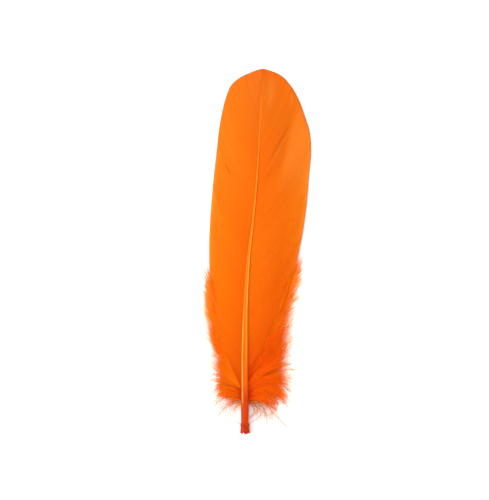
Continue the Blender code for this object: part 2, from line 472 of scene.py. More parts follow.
def beside(points, start, end):
    """Signed distance from the line, positive on its right, and the share along it, for points in mm."""
    start, end = np.array(start), np.array(end)
    run = end - start
    length = np.hypot(*run)
    run = run / length
    offset = points[:, :2] - start
    return offset[:, 0] * run[1] - offset[:, 1] * run[0], (offset @ run) / length


def fades(along, reach):
    """1 along a line, easing to 0 at its ends."""
    return smooth_step(along, -reach / 2, reach) * (1 - smooth_step(along, 1 - reach, 1 + reach / 2))


def relief(side, points):
    """How far the slow waves, the fold, the seams and the slit of a vane lift it, in mm."""
    x, station = points[:, 0], points[:, 1]
    lift = WAVE_HEIGHT * np.sin(station / WAVE_ALONG + x / WAVE_SLANT) * np.sin(x / WAVE_ACROSS + side)
    if side == LEFT:
        off, along = beside(points, *SLIT)
        return lift - SLIT_DEPTH * np.exp(-((off / SLIT_WIDTH) ** 2)) * fades(along, SLIT_FADES)
    off, along = beside(points, *FOLD)
    lift = lift - FOLD_DEPTH * np.exp(-((off / FOLD_WIDTH) ** 2)) * fades(along, FOLD_FADES)
    for line, height in SEAM_LIFTS:
        off, along = beside(points, *line)
        lips = np.where(off < 0, np.exp(off / LOWER_LIP_FALLS), np.exp(-off / UPPER_LIP_FALLS))
        lift = lift + height * lips * fades(along, SEAM_FADES) * np.where(off < 0, LOWER_LIP, 1.0)
    return lift


print("fold in mm:", round(float(np.hypot(*np.subtract(*FOLD))), 1), "deep:", FOLD_DEPTH)

# %% [markdown]
# Shape alone doesn't say it all. A seam and the slit lie in shade, which is painted on as a darker colour, and
# beside the fold and at a faint crease near the tip the vane catches more light, which is painted on as a
# lighter one. A vertex carries both as a number, so the finish can read them later. Most of these marks are a
# stripe beside a line, so a table lists them.

# %% Dark and bright stripes
TIP_CREASE = ((15.5, 160.5), (15.7, 168.5))
TIP_LIT_PATCH = ((4.6, 160.0), (6.2, 178.0))
# The dark stripes are painted shade in the seams and the slit, the bright ones painted light where the vane
# catches more light.
# Side, line, how strong, how far right of the line and how wide in mm, and over how much it fades.
DARK_STRIPES = (
    (RIGHT, SEAM, 0.75, -0.5, 0.8, SEAM_FADES),
    (RIGHT, SEAM_LOW, 0.5, -0.3, 0.7, SEAM_FADES),
    (LEFT, SLIT, 0.8, 0.0, 0.3, SLIT_FADES),
)
BRIGHT_STRIPES = (
    (RIGHT, TIP_CREASE, 0.7, 0.0, 0.35, 0.18),
    (RIGHT, TIP_LIT_PATCH, 0.6, 0.0, 2.0, 0.4),
    (RIGHT, SEAM, 0.45, 0.6, 0.5, SEAM_FADES),
)
BEHIND_FOLD = 0.62  # how strongly the vane right of the fold catches the light
FOLD_EDGE = (-1.0, 3.0)


def add_stripes(marks, rows, side, points):
    """The marks with the stripes of one side added."""
    for row_side, line, strength, middle, width, fading in rows:
        if row_side == side:
            off, along = beside(points, *line)
            marks = marks + strength * np.exp(-(((off - middle) / width) ** 2)) * fades(along, fading)
    return marks


def painted_shade_marks(side, points):
    """Where painted shade darkens the vane, 0 to 1."""
    return np.clip(add_stripes(np.zeros(len(points)), DARK_STRIPES, side, points), 0, 1)


def painted_light_marks(side, points):
    """Where the vane catches more light, painted as a lighter colour, 0 to 1."""
    light = np.zeros(len(points))
    if side == RIGHT:
        off, along = beside(points, *FOLD)
        light = light + BEHIND_FOLD * smooth_step(off, *FOLD_EDGE) * fades(along, FOLD_FADES)
    return np.clip(add_stripes(light, BRIGHT_STRIPES, side, points), 0, 1)


print("stripes on the vanes:", len(DARK_STRIPES), "dark,", len(BRIGHT_STRIPES), "bright")

# %% [markdown]
# Now each vertex of the grid goes to its place. Its line says which barb it is on and whether on the ridge or
# in the groove, and its step how far out. On a real feather no two barbs are quite alike, and neighbours lean
# the same way, so every barb has a value of its own and one that drifts slowly from barb to barb.

# %% Lay the grid on a vane's curves
FIRST_ROOT, LAST_ROOT = 19.5, 179.5
ROOT_SPREAD = 1.15  # barbs stand a little closer at the foot
RIDGE = 0.07
SHEET = 0.12
LOWEST = 0.2  # just clear of the surface that the feather lies on
NEIGHBOURS = 10  # barbs over which the slow drift is evened out
COMB, COMB_AT_FOOT = 0.008, 0.055  # share of a barb where its grooves are missing, and what the foot adds
COMB_CLOSES = (24.0, 62.0)
# How much the barbs differ: sideways in barbs, in the comb, at the edge, in their ridges, in height in mm.
STRAYING, COMB_VARIES, EDGE_VARIES, RIDGE_VARIES, DRIFT_LIFTS = 0.10, 0.35, 0.004, 0.25, 0.05
OWN_TONE, DRIFT_TONE = 0.16, 0.3
RIDGE_STARTS = 0.08  # share of the barb over which its ridge rises from the quill


def barb_root(barb):
    """Station where a barb of the vane leaves the quill."""
    return FIRST_ROOT + (LAST_ROOT - FIRST_ROOT) * (barb / BARBS) ** ROOT_SPREAD


def open_comb(root):
    """How far back the grooves stop before the edge, as a share of the barb: the foot's comb is wide open."""
    return COMB + COMB_AT_FOOT * (1 - smooth_step(root, *COMB_CLOSES))


def lay_barbs(side, seed):
    """The place of each vertex of the grid on a vane, in mm, and the tone of its barb."""
    rng = np.random.default_rng(seed)
    barb = np.minimum(np.floor(barb_place + 0.5), BARBS)  # ridges stand on whole numbers
    groove = np.abs(barb_place - barb) * 2  # 0 on a ridge, 1 in a groove
    uneven = rng.normal(0, 1, BARBS + 1 + 2 * NEIGHBOURS)
    drift = np.convolve(uneven, np.ones(NEIGHBOURS) / NEIGHBOURS, "same")[NEIGHBOURS:-NEIGHBOURS]
    drift = drift[barb.astype(int)]
    own = rng.normal(0, 1, BARBS + 1)[barb.astype(int)]
    place = barb_place + STRAYING * own * step_share * (1 - groove)
    root = barb_root(np.clip(place, 0, BARBS))
    gap = open_comb(root) * (1 + COMB_VARIES * drift)
    share = step_share * (1 - gap * groove * step_share**3)
    points = vane_points(side, root, share)
    reach = EDGE_VARIES * own * (1 - groove) * step_share**8
    points[:, :2] = vane_points(side, root, np.minimum(share + reach, 1.0))[:, :2]
    points[:, 2] += relief(side, points)
    rises = smooth_step(step_share, 0.0, RIDGE_STARTS)
    points[:, 2] += RIDGE * (0.5 - groove) * rises * (1 + RIDGE_VARIES * own)
    points[:, 2] += DRIFT_LIFTS * drift * step_share
    points[:, 2] = np.maximum(points[:, 2], LOWEST + SHEET)
    return points, np.clip(0.5 + OWN_TONE * own + DRIFT_TONE * drift, 0, 1)


print("first and last barb leave the quill at", barb_root(0), "and", barb_root(BARBS), "mm")

# %% [markdown]
# The sheet gets its thickness from a Solidify modifier, downwards, so the laid grid stays the upper face. The
# vane also needs a map of its own, because its streaks follow the barbs and not the axes of space: the
# map's first number is the share of the way out and the second counts the barbs.

# %% Shape the vanes
MAP_MARGIN, MAP_SIZE = 0.01, 0.98


def carry(mesh, label, values):
    """Gives each vertex of a mesh a number that a finish can read."""
    mesh.attributes.new(label, "FLOAT", "POINT").data.foreach_set("value", values)


def shape_vane(side, name, seed):
    """A vane as a piece: the grid laid on its curves, with a map, its marks and a thickness."""
    points, tone = lay_barbs(side, seed)
    mesh = grid_mesh.copy()
    mesh.name = name
    mesh.vertices.foreach_set("co", ((points + TO_MODEL) * MM).ravel())
    carry(mesh, "painted_shade", painted_shade_marks(side, points))
    carry(mesh, "painted_light", painted_light_marks(side, points))
    carry(mesh, "tone", tone)
    corner = np.zeros(len(mesh.loops), int)
    mesh.loops.foreach_get("vertex_index", corner)
    layout = np.column_stack([step_share, barb_place / BARBS]) * MAP_SIZE + MAP_MARGIN
    mesh.uv_layers.new(name="UVMap").uv.foreach_set("vector", layout[corner].ravel())
    if side == LEFT:
        mesh.flip_normals()
    mesh.shade_smooth()
    piece = put_in_scene(name, mesh)
    wall = piece.modifiers.new("sheet", "SOLIDIFY")
    wall.thickness = SHEET * MM
    wall.offset = -1.0
    return piece


left_vane = shape_vane(LEFT, "left_vane", 3)
right_vane = shape_vane(RIGHT, "right_vane", 4)
for piece in (left_vane, right_vane):
    upwards = sum(face.normal.z > 0 for face in piece.data.polygons)
    print(piece.name, "faces:", len(piece.data.polygons), "of them facing up:", upwards)

# %% [markdown]
# The dye of a vane is not one orange. It is deepest at the foot and beside the quill, partly because the barbs
# are thick there and partly as painted shade, and clearest towards the outer edge, where they are thin and the
# light gets through them. The tip is a little paler and duller, partly as painted sheen. Along the barbs runs a
# faint streak, each barb having taken the dye in its own way. A thin painted highlight runs along part of the
# outer edge, where it catches the light, and small darker flecks lie scattered over the lower half.
#
# An image would give that at once, but it would be a picture and not a finish. Ramps along the feather do it
# from a few colours: three rows of them, beside the quill, halfway out and at the edge, blended by the share
# of the way out. Stretched noise adds streaks and flecks. The painted shade of the seams and the slit and the
# painted light by the fold and the tip are the mesh's own numbers.

# %% The finish of the vanes
ROWS_LIE_AT = (0.02, 0.13, 0.24, 0.45, 0.7, 0.92)  # shares of the way from foot to tip
STREAK_GRAIN, FLECK_GRAIN, BARBULE_GRAIN = (5.0, 190.0, 1.0), (16.0, 100.0, 1.0), (60.0, 1400.0, 1.0)
UNEVEN, UNEVEN_COLOUR = 0.34, "C64A00"
# A thin painted highlight along part of the outer edge, where it catches the light.
RIM_HIGHLIGHT, RIM_HIGHLIGHT_COLOUR, RIM_HIGHLIGHT_NARROWS = 0.75, "F69634", 16.0
HIGHLIGHT_COMES, HIGHLIGHT_GOES, HIGHLIGHT_STAYS = 0.1, 0.16, 0.05  # shares of the feather, and what is left of the rim above
FLECKED_PART = ((0.04, 0.0), (0.14, 1.0), (0.4, 1.0), (0.55, 0.0))
FLECK_LIMITS, FLECK_COLOUR = ((0.58, 0.0), (0.76, 1.0)), "C44600"
# Painted light by the fold and the tip, and painted shade in the seams and the slit.
MARK_SHOWS, PAINTED_LIGHT_COLOUR, PAINTED_SHADE_COLOUR = 0.6, "E4822C", "BE4000"


def vane_dye(tree, out, along, rows):
    """The even dye: rows of hex colours from foot to tip, beside the quill, halfway out and at the edge."""
    near, middle, outer = (ramp(tree, along, list(zip(ROWS_LIE_AT, row))) for row in rows)
    twice = times(tree, out, 2.0)
    colour = blend(tree, sums(tree, "SMOOTH_MIN", 1.0, twice), near, middle)
    return blend(tree, sums(tree, "MAXIMUM", 0.0, minus(tree, twice, 1.0)), colour, outer)


def vane_finish(name, rows, highlight_between, flecked):
    """The dye with its streaks, a painted highlight on the rim between two shares of the way up, flecks, and
    the painted light and shade of the marks.
    """
    finish, tree, shader = new_finish(name, roughness=0.75, specular=0.04)
    out, along, layout = laid_out(tree)
    colour = vane_dye(tree, out, along, rows)
    streaks = grain(tree, layout, STREAK_GRAIN, detail=3.0)
    tone = sums(tree, "ADD", times(tree, attribute(tree, "tone"), 0.5), times(tree, streaks, 0.5))
    colour = blend(tree, times(tree, tone, UNEVEN), colour, UNEVEN_COLOUR)
    # The painted highlight along the outer edge.
    low, high = highlight_between
    highlight_stops = ((low - HIGHLIGHT_COMES, 0.0), (low, 1.0), (high, 1.0), (high + HIGHLIGHT_GOES, HIGHLIGHT_STAYS))
    rim = ramp(tree, along, highlight_stops)
    rim = times(tree, rim, sums(tree, "POWER", out, RIM_HIGHLIGHT_NARROWS))
    colour = blend(tree, times(tree, rim, RIM_HIGHLIGHT), colour, RIM_HIGHLIGHT_COLOUR)
    flecks = ramp(tree, grain(tree, layout, FLECK_GRAIN, detail=2.0), FLECK_LIMITS)
    flecks = times(tree, times(tree, flecks, ramp(tree, along, FLECKED_PART)), flecked)
    colour = blend(tree, flecks, colour, FLECK_COLOUR)
    colour = blend(tree, times(tree, attribute(tree, "painted_light"), MARK_SHOWS), colour, PAINTED_LIGHT_COLOUR)
    colour = blend(tree, times(tree, attribute(tree, "painted_shade"), MARK_SHOWS), colour, PAINTED_SHADE_COLOUR)
    wire(tree, colour, shader.inputs["Base Color"])
    bump(tree, shader, grain(tree, layout, BARBULE_GRAIN, detail=1.0), strength=0.25, distance=0.05 * MM)
    return finish


# These rows are darker beside the quill and at the foot partly as painted shade, and paler at the tip partly as
# painted sheen.
LEFT_ROWS = (
    ("B23C00", "CC4E00", "D25500", "D85A02", "DA6006", "D66414"),
    ("BA4000", "DA5E02", "DC6602", "DC6A07", "DC6C0E", "DA6C18"),
    ("C44A00", "DA6406", "DC6E08", "DC720E", "DC7013", "DC6A18"),
)
RIGHT_ROWS = (
    ("B83000", "D64E00", "E26004", "E06806", "DA6006", "D2680F"),
    ("BA3400", "D85200", "D65700", "DC6507", "D8660C", "CE6410"),
    ("C84400", "DE5E02", "E86E08", "E87A10", "DE6C10", "DE6209"),
)
left_vane.data.materials.append(vane_finish("dyed_left_vane", LEFT_ROWS, (0.26, 0.5), flecked=0.2))
right_vane.data.materials.append(vane_finish("dyed_right_vane", RIGHT_ROWS, (0.27, 0.47), flecked=0.8))
print("nodes in a vane's finish:", len(left_vane.active_material.node_tree.nodes))

# %% [markdown]
# The quill is one tapering stem. Its bare foot, the calamus, is a round hollow tube with a cut end. Further
# up it becomes the rachis, which carries the vanes: its back is squared, with two rounded ridges and a
# shallow trough between them. The cut end was trimmed roughly, so the last few millimetres flare into a
# lumpy collar, and the rim is torn and has one deep notch.
#
# The first step is one section: forty points round the stem at any station. Between round and squared lies a
# whole family of curves, whose power grows from 2 to 3.4, so one formula serves the foot and the back.

# %% A section of the quill
RING = 40
WALL = 0.45
# Share of the solid's thickness that the stem has, inside the sheath of its foot and the barbs on its back.
TRIMMED = (
    (0.0, 0.86), (5.0, 0.87), (8.0, 0.92), (14.0, 1.0),
    (32.0, 0.99), (60.0, 0.86), (120.0, 0.84), (160.0, 1.0),
)
LEANS = ((0.0, 0.0), (6.0, 0.0), (12.0, 0.12), (36.0, 0.12), (60.0, 0.0))  # to the feather's right, in mm
THINNEST = 0.16
SQUARED, SQUARED_OVER = 1.4, (20.0, 50.0)  # what is added to the power, and the stations over which it grows
TROUGH_DEPTH, TROUGH_WIDTH, UNDER_TROUGH = 0.16, 0.32, 0.8
SINKS, SINKS_OVER = 0.35, (152.0, 176.0)  # the tip dives between the vanes
COLLAR, COLLAR_STEP = 4.8, 0.35
COLLAR_FLARE, COLLAR_WAIST, COLLAR_LUMPS = 0.19, 0.05, 0.11
RIM_TORN, RIM_DEPTH = 0.7, 1.5
NOTCH, NOTCH_AT, NOTCH_WIDTH = 0.8, -0.42, 0.14

tear = random.Random(21)
TORN = [tear.uniform(-1.0, 1.0) for _ in range(RING)]
TORN = [(TORN[i] + TORN[(i + 1) % RING] + TORN[(i + 2) % RING]) / 3 for i in range(RING)]


def quill_section(station, ring_size=1.0):
    """The points of one ring. A turn of 0 is the feather's right, a quarter turn its back."""
    x, z, radius = (float(value) for value in quill_at(station))
    x += float(between(LEANS, station))
    radius = max(radius * float(between(TRIMMED, station)), THINNEST)
    ridged = float(smooth_step(station, *SQUARED_OVER))
    power = 2 + SQUARED * ridged
    sunk = SINKS * float(smooth_step(station, *SINKS_OVER))
    collar = 1 - float(smooth_step(station, COLLAR - COLLAR_STEP, COLLAR))
    down = min(station / COLLAR, 1.0)
    at_rim = max(0.0, 1 - station / RIM_DEPTH)
    ring = []
    for i in range(RING):
        turn = math.tau * i / RING
        across, up = math.cos(turn), math.sin(turn)
        square = (abs(across) ** power + abs(up) ** power) ** (-1 / power)
        trough = TROUGH_DEPTH * ridged * math.exp(-((across / TROUGH_WIDTH) ** 2))
        trough *= 1 if up > 0 else UNDER_TROUGH
        lower_lump = TORN[(i * 3 + 7) % RING]  # the same values, taken in another order
        lumps = TORN[i] * (1 - down) + lower_lump * down
        flare = COLLAR_FLARE + COLLAR_WAIST * math.cos(math.tau * down) + COLLAR_LUMPS * lumps
        size = radius * ring_size * (1 + collar * flare)
        notch = NOTCH * math.exp(-(((across - NOTCH_AT) / NOTCH_WIDTH) ** 2))
        ring.append(Vector((
            x + size * across * square,
            station + (RIM_TORN * TORN[i] + notch) * at_rim,
            max(z - sunk + size * (up * square - math.copysign(trough, up)), LOWEST),
        )))
    return ring


for station in (10.0, 60.0, 150.0):
    xs = [point.x for point in quill_section(station)]
    print("quill at", station, "mm is", round(max(xs) - min(xs), 2), "mm wide")

# %% [markdown]
# A lathe shape would be round all the way. Instead one ring of edges starts deep inside the hollow and is
# extruded again and again: out to the cut, over the torn rim, and then along the whole feather. After each
# extrusion the new ring is laid on the section that the stem has at that station. Each vertex keeps its rank
# round the ring, so the new points always come in the right order.

# %% Grow the quill
HOLLOW_DEPTH = 12.0
HOLLOW = 1 - WALL / QUILL[0][3]  # size of the hollow against the stem
HOLLOW_RINGS = (
    (HOLLOW_DEPTH - 0.3, 0.6), (HOLLOW_DEPTH - 1.2, 0.76), (7.0, HOLLOW), (2.0, HOLLOW), (0.25, HOLLOW),
    (0.0, 0.5 + HOLLOW / 2),
)
HOLLOW_FLOOR = 0.35
COLLAR_RINGS = (0.0, 0.15, 0.45, 0.9, 1.5, 2.2, 3.0, 3.7, 4.2, 4.45, 4.58, 4.7, 4.82, 5.1)
STEM_RINGS = np.linspace(5.8, 177.8, 150)
TIP = 178.2


def grow_ring(bm, edges, ring):
    """Extrudes the open ring of edges and lays its new copy on the given points."""
    grown = bmesh.ops.extrude_edge_only(bm, edges=edges)["geom"]
    rank = bm.verts.layers.int["rank"]
    verts = [part for part in grown if isinstance(part, bmesh.types.BMVert)]
    for vert, place in zip(sorted(verts, key=lambda vert: vert[rank]), ring):
        vert.co = place
    return [part for part in grown if isinstance(part, bmesh.types.BMEdge)]


bm = bmesh.new()
rank_layer = bm.verts.layers.int.new("rank")
start_ring = bmesh.ops.create_circle(bm, segments=RING, radius=1.0, cap_ends=True)["verts"]
start_ring.sort(key=lambda vert: math.atan2(vert.co.y, vert.co.x) % math.tau)
for i, (vert, place) in enumerate(zip(start_ring, quill_section(HOLLOW_DEPTH, HOLLOW_FLOOR))):
    vert[rank_layer] = i
    vert.co = place
ring_edges = list(bm.edges)
for station, size in HOLLOW_RINGS:
    ring_edges = grow_ring(bm, ring_edges, quill_section(station, size))
for station in (*COLLAR_RINGS, *STEM_RINGS):
    ring_edges = grow_ring(bm, ring_edges, quill_section(float(station)))
tip_x, tip_z, _ = (float(value) for value in quill_at(TIP))
tip_verts = list({vert for edge in ring_edges for vert in edge.verts})
bmesh.ops.pointmerge(bm, verts=tip_verts, merge_co=Vector((tip_x, TIP, tip_z - SINKS)))
bmesh.ops.recalc_face_normals(bm, faces=bm.faces)
print("quill rings:", len(HOLLOW_RINGS) + len(COLLAR_RINGS) + len(STEM_RINGS), "faces:", len(bm.faces))

# %% [markdown]
# The lines on the back of a quill run along it, so the finish needs to know how far across the back a point
# is: -1 at the left flank, 0 in the trough, 1 at the right flank. The rank in the ring gives it. On the
# underside it stays -1 or 1, so only the colours of the flanks reach it.
#
# Extruding leaves the new faces in an order that changes from run to run. It changes nothing one can see,
# but a mesh that is the same each time is easier to compare, so the faces are sorted.

# %% Finish the quill's mesh
FACE_ORDER = Vector((1.0, 100.0, 0.3))  # mostly along the feather, and slanted, so no two faces are level

across_layer = bm.verts.layers.float.new("across")
for vert in bm.verts:
    turn = math.tau * vert[rank_layer] / RING
    vert[across_layer] = math.cos(turn) if math.sin(turn) > 0 else math.copysign(1.0, math.cos(turn))
    vert.co = (vert.co + Vector(TO_MODEL)) * MM
bm.faces.sort(key=lambda face: face.calc_center_median().dot(FACE_ORDER))
quill_mesh = bpy.data.meshes.new("quill")
bm.to_mesh(quill_mesh)
bm.free()
quill = put_in_scene("quill", quill_mesh)
quill_mesh.shade_smooth()
rim = min(vert.co.y for vert in quill_mesh.vertices)
print("rim of the cut end in mm:", round(rim / MM, 2), "vertices:", len(quill_mesh.vertices))

# %% [markdown]
# The quill is horn. It is glossy and lets light a little way in, so its dye looks lit from within: clear
# amber along the rachis, deep red-orange in the bare foot, almost brown on the torn rim. Fine paler lines run
# along it, partly its grain and partly painted glints, and the foot has cloudy patches where the dye did not
# take evenly.
#
# On the back lie lines that no noise would give, most of them painted light and shade: pale ridges with painted
# highlights, a trough darkened as painted shade, a brown left flank at the foot that is painted shade, and a
# thin pale glint, a painted highlight, with a dark groove of painted shade beside it where the vanes begin.
# Each is a bell-shaped share across the back, times a ramp that says how much of it there is from foot to tip.

# %% Colours of the quill
BODY = (
    (0.0, "AC2400"), (0.024, "B62C00"), (0.028, "BE3400"), (0.098, "C43800"), (0.115, "DC5000"),
    (0.14, "EA6400"), (0.26, "EA7002"), (0.6, "EC7A08"), (0.8, "EE760E"), (0.88, "EC6A0C"), (0.95, "E8640C"),
)
LINE_GRAIN, CLOUD_GRAIN = (5200.0, 130.0, 5200.0), (500.0, 190.0, 500.0)
# The fine lines are paler than the horn: partly its grain, partly painted glints.
LINES, LINE_COLOURS = 0.35, ((0.0, "CC3C00"), (0.10, "DA4804"), (0.3, "F89020"), (1.0, "FF9A28"))
CLOUDS, CLOUD_COLOUR = 0.25, "CC4000"
FLAKE_GRAIN, FLAKES_ABOVE = (1900.0, 900.0, 1900.0), 0.54
FLAKES, FLAKE_COLOUR, TORN_PART = 0.55, "6E1000", 0.0265
# Lines on the back: place across it and width, then their colours and how much of each, from foot to tip.
# Painted light and shade on the back: painted shade on the foot's left flank, in the trough and in the groove
# beside the glint, painted light and shade on the right flank, and painted highlights on the ridges and the
# glint, dimmed on the left ridge halfway up.
BACK_LINES = (
    (  # left flank of the bare foot
        -0.95, 0.5,
        ((0.03, "984416"), (0.09, "A04C16"), (0.11, "D06414")),
        ((0.0, 0.15), (0.04, 0.8), (0.09, 0.8), (0.12, 0.0)),
    ),
    (  # trough
        0.0, 0.26,
        ((0.0, "DC5C00"), (1.0, "DC5C00")),
        ((0.13, 0.0), (0.24, 0.55), (1.0, 0.55)),
    ),
    (  # left ridge
        -0.66, 0.17,
        (
            (0.12, "FFB040"), (0.27, "FFB040"), (0.36, "EC7406"),
            (0.52, "E87004"), (0.62, "FF9C2C"), (1.0, "FFA030"),
        ),
        ((0.13, 0.0), (0.24, 0.7), (1.0, 0.7)),
    ),
    (  # right ridge
        0.62, 0.22,
        (
            (0.12, "F88010"), (0.3, "FFA828"), (0.38, "FFBC48"),
            (0.52, "FFBC48"), (0.62, "F88C20"), (1.0, "F08010"),
        ),
        ((0.13, 0.0), (0.24, 0.5), (0.36, 0.85), (0.55, 0.85), (1.0, 0.5)),
    ),
    (  # right flank
        1.0, 0.16,
        ((0.1, "F06408"), (0.27, "E66206"), (0.4, "F0780C"), (1.0, "F27E14")),
        ((0.1, 0.0), (0.16, 0.7), (1.0, 0.7)),
    ),
    (  # groove beside the glint
        -0.2, 0.17,
        ((0.08, "942C00"), (0.12, "A04000"), (0.3, "AC5400")),
        ((0.075, 0.0), (0.095, 0.8), (0.2, 0.75), (0.36, 0.0)),
    ),
    (  # glint
        -0.54, 0.13,
        ((0.0, "FFA860"), (1.0, "FFA860")),
        ((0.075, 0.0), (0.095, 0.75), (0.16, 0.75), (0.22, 0.0)),
    ),
)
print("lines on the quill's back:", len(BACK_LINES))

# %% The finish of the quill
BELL = 2.7  # the larger, the faster a line falls off


def back_line(tree, across, middle, width):
    """1 in the middle of a line on the back, falling off to both sides."""
    off = sums(tree, "DIVIDE", minus(tree, across, middle), width)
    return sums(tree, "POWER", BELL, times(tree, times(tree, off, off), -1.0))


quill_dye, tree, shader = new_finish("dyed_quill_horn", roughness=0.22, specular=0.075)
place = object_place(tree)
along = along_feather(tree, place)
across = attribute(tree, "across")
lines = grain(tree, place, LINE_GRAIN, detail=3.0)
colour = blend(tree, times(tree, lines, LINES), ramp(tree, along, BODY), ramp(tree, along, LINE_COLOURS))
for middle, width, tints, shares in BACK_LINES:
    share = times(tree, back_line(tree, across, middle, width), ramp(tree, along, shares))
    colour = blend(tree, share, colour, ramp(tree, along, tints))
clouds = grain(tree, place, CLOUD_GRAIN, detail=4.0)
colour = blend(tree, times(tree, clouds, CLOUDS), colour, CLOUD_COLOUR)
flakes = sums(tree, "GREATER_THAN", grain(tree, place, FLAKE_GRAIN, detail=3.0), FLAKES_ABOVE)
flakes = times(tree, flakes, sums(tree, "LESS_THAN", along, TORN_PART))
colour = blend(tree, times(tree, flakes, FLAKES), colour, FLAKE_COLOUR)
wire(tree, colour, shader.inputs["Base Color"])
shader.inputs["Subsurface Weight"].default_value = 0.05
shader.inputs["Subsurface Radius"].default_value = (1.0, 0.35, 0.1)
shader.inputs["Subsurface Scale"].default_value = MM
bump(tree, shader, lines, strength=0.35, distance=0.06 * MM)
quill_mesh.materials.append(quill_dye)
print("nodes in the quill's finish:", len(tree.nodes))

# %% [markdown]
# Below the vanes' close web the barbs carry no hooks. They hang loose as down: thin wavy strands that cling
# together in locks and thin out to a few hairs. The lowest stand out sideways from the foot of the quill and
# droop at their tips, the next ones lie along the vane's lower edge and pass it.
#
# The tables give the CAD's locks of down: station of the root on the quill, then the tip's sideways place and
# station. Where strands lie close, the dye looks deep. Past the tips of the locks, and below the lowest one,
# they stand alone and look paler, so a helper says how alone a point is.

# %% Where strands stand alone
LEFT_LOCKS = (
    (16.0, -20.6, 12.6), (17.0, -22.8, 17.0), (18.0, -24.0, 22.5), (19.2, -24.2, 29.5), (20.6, -23.8, 37.0),
    (22.4, -23.6, 44.0), (24.6, -23.8, 51.0), (29.0, -23.9, 58.5), (34.5, -24.1, 67.0), (40.5, -24.4, 75.0),
)
RIGHT_LOCKS = (
    (16.0, 11.4, 9.6), (16.9, 14.6, 13.6), (17.9, 16.2, 19.0), (19.1, 16.4, 26.0), (20.5, 15.8, 34.0),
    (22.2, 15.2, 42.5), (25.0, 15.2, 52.0), (32.0, 17.0, 63.5), (40.0, 19.8, 75.5), (49.0, 22.2, 87.0),
)
LOCKS = {LEFT: LEFT_LOCKS, RIGHT: RIGHT_LOCKS}
FOOT_OF_DOWN = 15.5  # station below which no lock leaves the quill
# Share of the locks' reach at which their close part ends, at the foot and at the vane's loose edge.
CLOSE_PART = {LEFT: (0.72, 0.95), RIGHT: (0.72, 0.8)}
FOOT_TO_EDGE = (30.0, 50.0)
ALONE_OVER = 0.3  # share of the reach over which strands part
BELOW_EDGE = (-2.0, 2.5)


def standing_alone(points):
    """0 where strands lie close, up to 1 where they stand alone past the locks' tips, for points in mm."""
    x, station = points[:, 0], points[:, 1]
    alone = np.zeros(len(points))
    for side, rows in LOCKS.items():
        _, tip_x, tip_station = np.array(rows).T
        reach = side * (tip_x - quill_at(tip_station)[0])
        sideways = side * (x - quill_at(station)[0])
        starts = np.interp(station, FOOT_TO_EDGE, CLOSE_PART[side])
        share_out = sideways / np.interp(station, tip_station, reach)
        past_tips = smooth_step(share_out, starts, starts + ALONE_OVER)
        lower_edge = np.interp(sideways, (0.0, reach[0]), (FOOT_OF_DOWN, tip_station[0]))
        below = smooth_step(lower_edge - station, *BELOW_EDGE)
        alone = np.where(sideways > 0, np.maximum(past_tips, below), alone)
    return alone


print("locks in the CAD's tables:", len(LEFT_LOCKS), "left,", len(RIGHT_LOCKS), "right")

# %% [markdown]
# Blender's hair would need its own kind of object, so each strand is a tube on a curve. One curve object
# holds all strands of a piece, a flat three-cornered section is swept along them, and the result is turned
# into a mesh. The strand's radius at each point thins it towards the tip.
#
# Each strand has one tone, so it looks like one hair from end to end. The broad ones underneath are toned
# down as painted shade, because what shows between the upper strands lies in their shade and looks deep red.

# %% Sweep strands
SECTION = ((-1.0, -0.2), (1.0, -0.2), (0.0, 0.3))
CORNERS = len(SECTION)
BROAD = 0.15  # radius from which a strand counts as one underneath
# The broad strands underneath are darkened as painted shade: they lie in the shade of the upper ones.
SHADED_BED_TONE = 0.45
SAME_PLACE = 0.0002 * MM


def draw_section(name, corners):
    """A closed outline to sweep along strands, one unit wide."""
    outline = bpy.data.curves.new(name, "CURVE")
    spline = outline.splines.new("POLY")
    spline.points.add(len(corners) - 1)
    for point, (x, y) in zip(spline.points, corners):
        point.co = (x * MM, y * MM, 0.0, 1.0)
    spline.use_cyclic_u = True
    return bpy.data.objects.new(name, outline)


STRAND_SECTION = draw_section("strand_section", SECTION)


def draw_strands(name, strands):
    """One curve object that holds all the strands and sweeps the section along them."""
    drawn = bpy.data.curves.new(name, "CURVE")
    drawn.dimensions = "3D"
    drawn.bevel_mode = "OBJECT"
    drawn.bevel_object = STRAND_SECTION
    drawn.use_fill_caps = True
    drawn.twist_mode = "Z_UP"
    for places, radius in strands:
        spline = drawn.splines.new("POLY")
        spline.points.add(len(places) - 1)
        points = np.column_stack([(places + TO_MODEL) * MM, np.ones(len(places))])
        spline.points.foreach_set("co", points.ravel())
        spline.points.foreach_set("radius", radius)
    return put_in_scene(name + "_curve", drawn)


def strand_tones(strands):
    """The tone of each vertex of the swept strands. Their end caps come first, last strand first."""
    own = np.random.default_rng(len(strands)).random(len(strands))
    own[[max(radius) > BROAD for _, radius in strands]] *= SHADED_BED_TONE
    caps = np.repeat(own[::-1], 2 * CORNERS)
    tubes = np.repeat(own, [CORNERS * len(places) for places, _ in strands])
    return np.concatenate([caps, tubes])


def sweep(name, strands):
    """One mesh piece of all the strands, each a line of points in mm with a radius at each."""
    holder = draw_strands(name, strands)
    graph = bpy.context.evaluated_depsgraph_get()
    mesh = bpy.data.meshes.new_from_object(holder.evaluated_get(graph))
    bpy.data.objects.remove(holder)
    carry(mesh, "tone", strand_tones(strands))
    bm = bmesh.new()
    bm.from_mesh(mesh)
    bmesh.ops.remove_doubles(bm, verts=bm.verts, dist=SAME_PLACE)  # joins each cap to its tube
    bmesh.ops.recalc_face_normals(bm, faces=bm.faces)
    bm.to_mesh(mesh)
    bm.free()
    mesh.name = name
    carry(mesh, "alone", standing_alone(vertex_places(mesh) / MM - TO_MODEL))
    mesh.shade_flat()
    triangles = sum(len(face.vertices) - 2 for face in mesh.polygons)
    print(name, "strands:", len(strands), "triangles:", triangles)
    return put_in_scene(name, mesh)


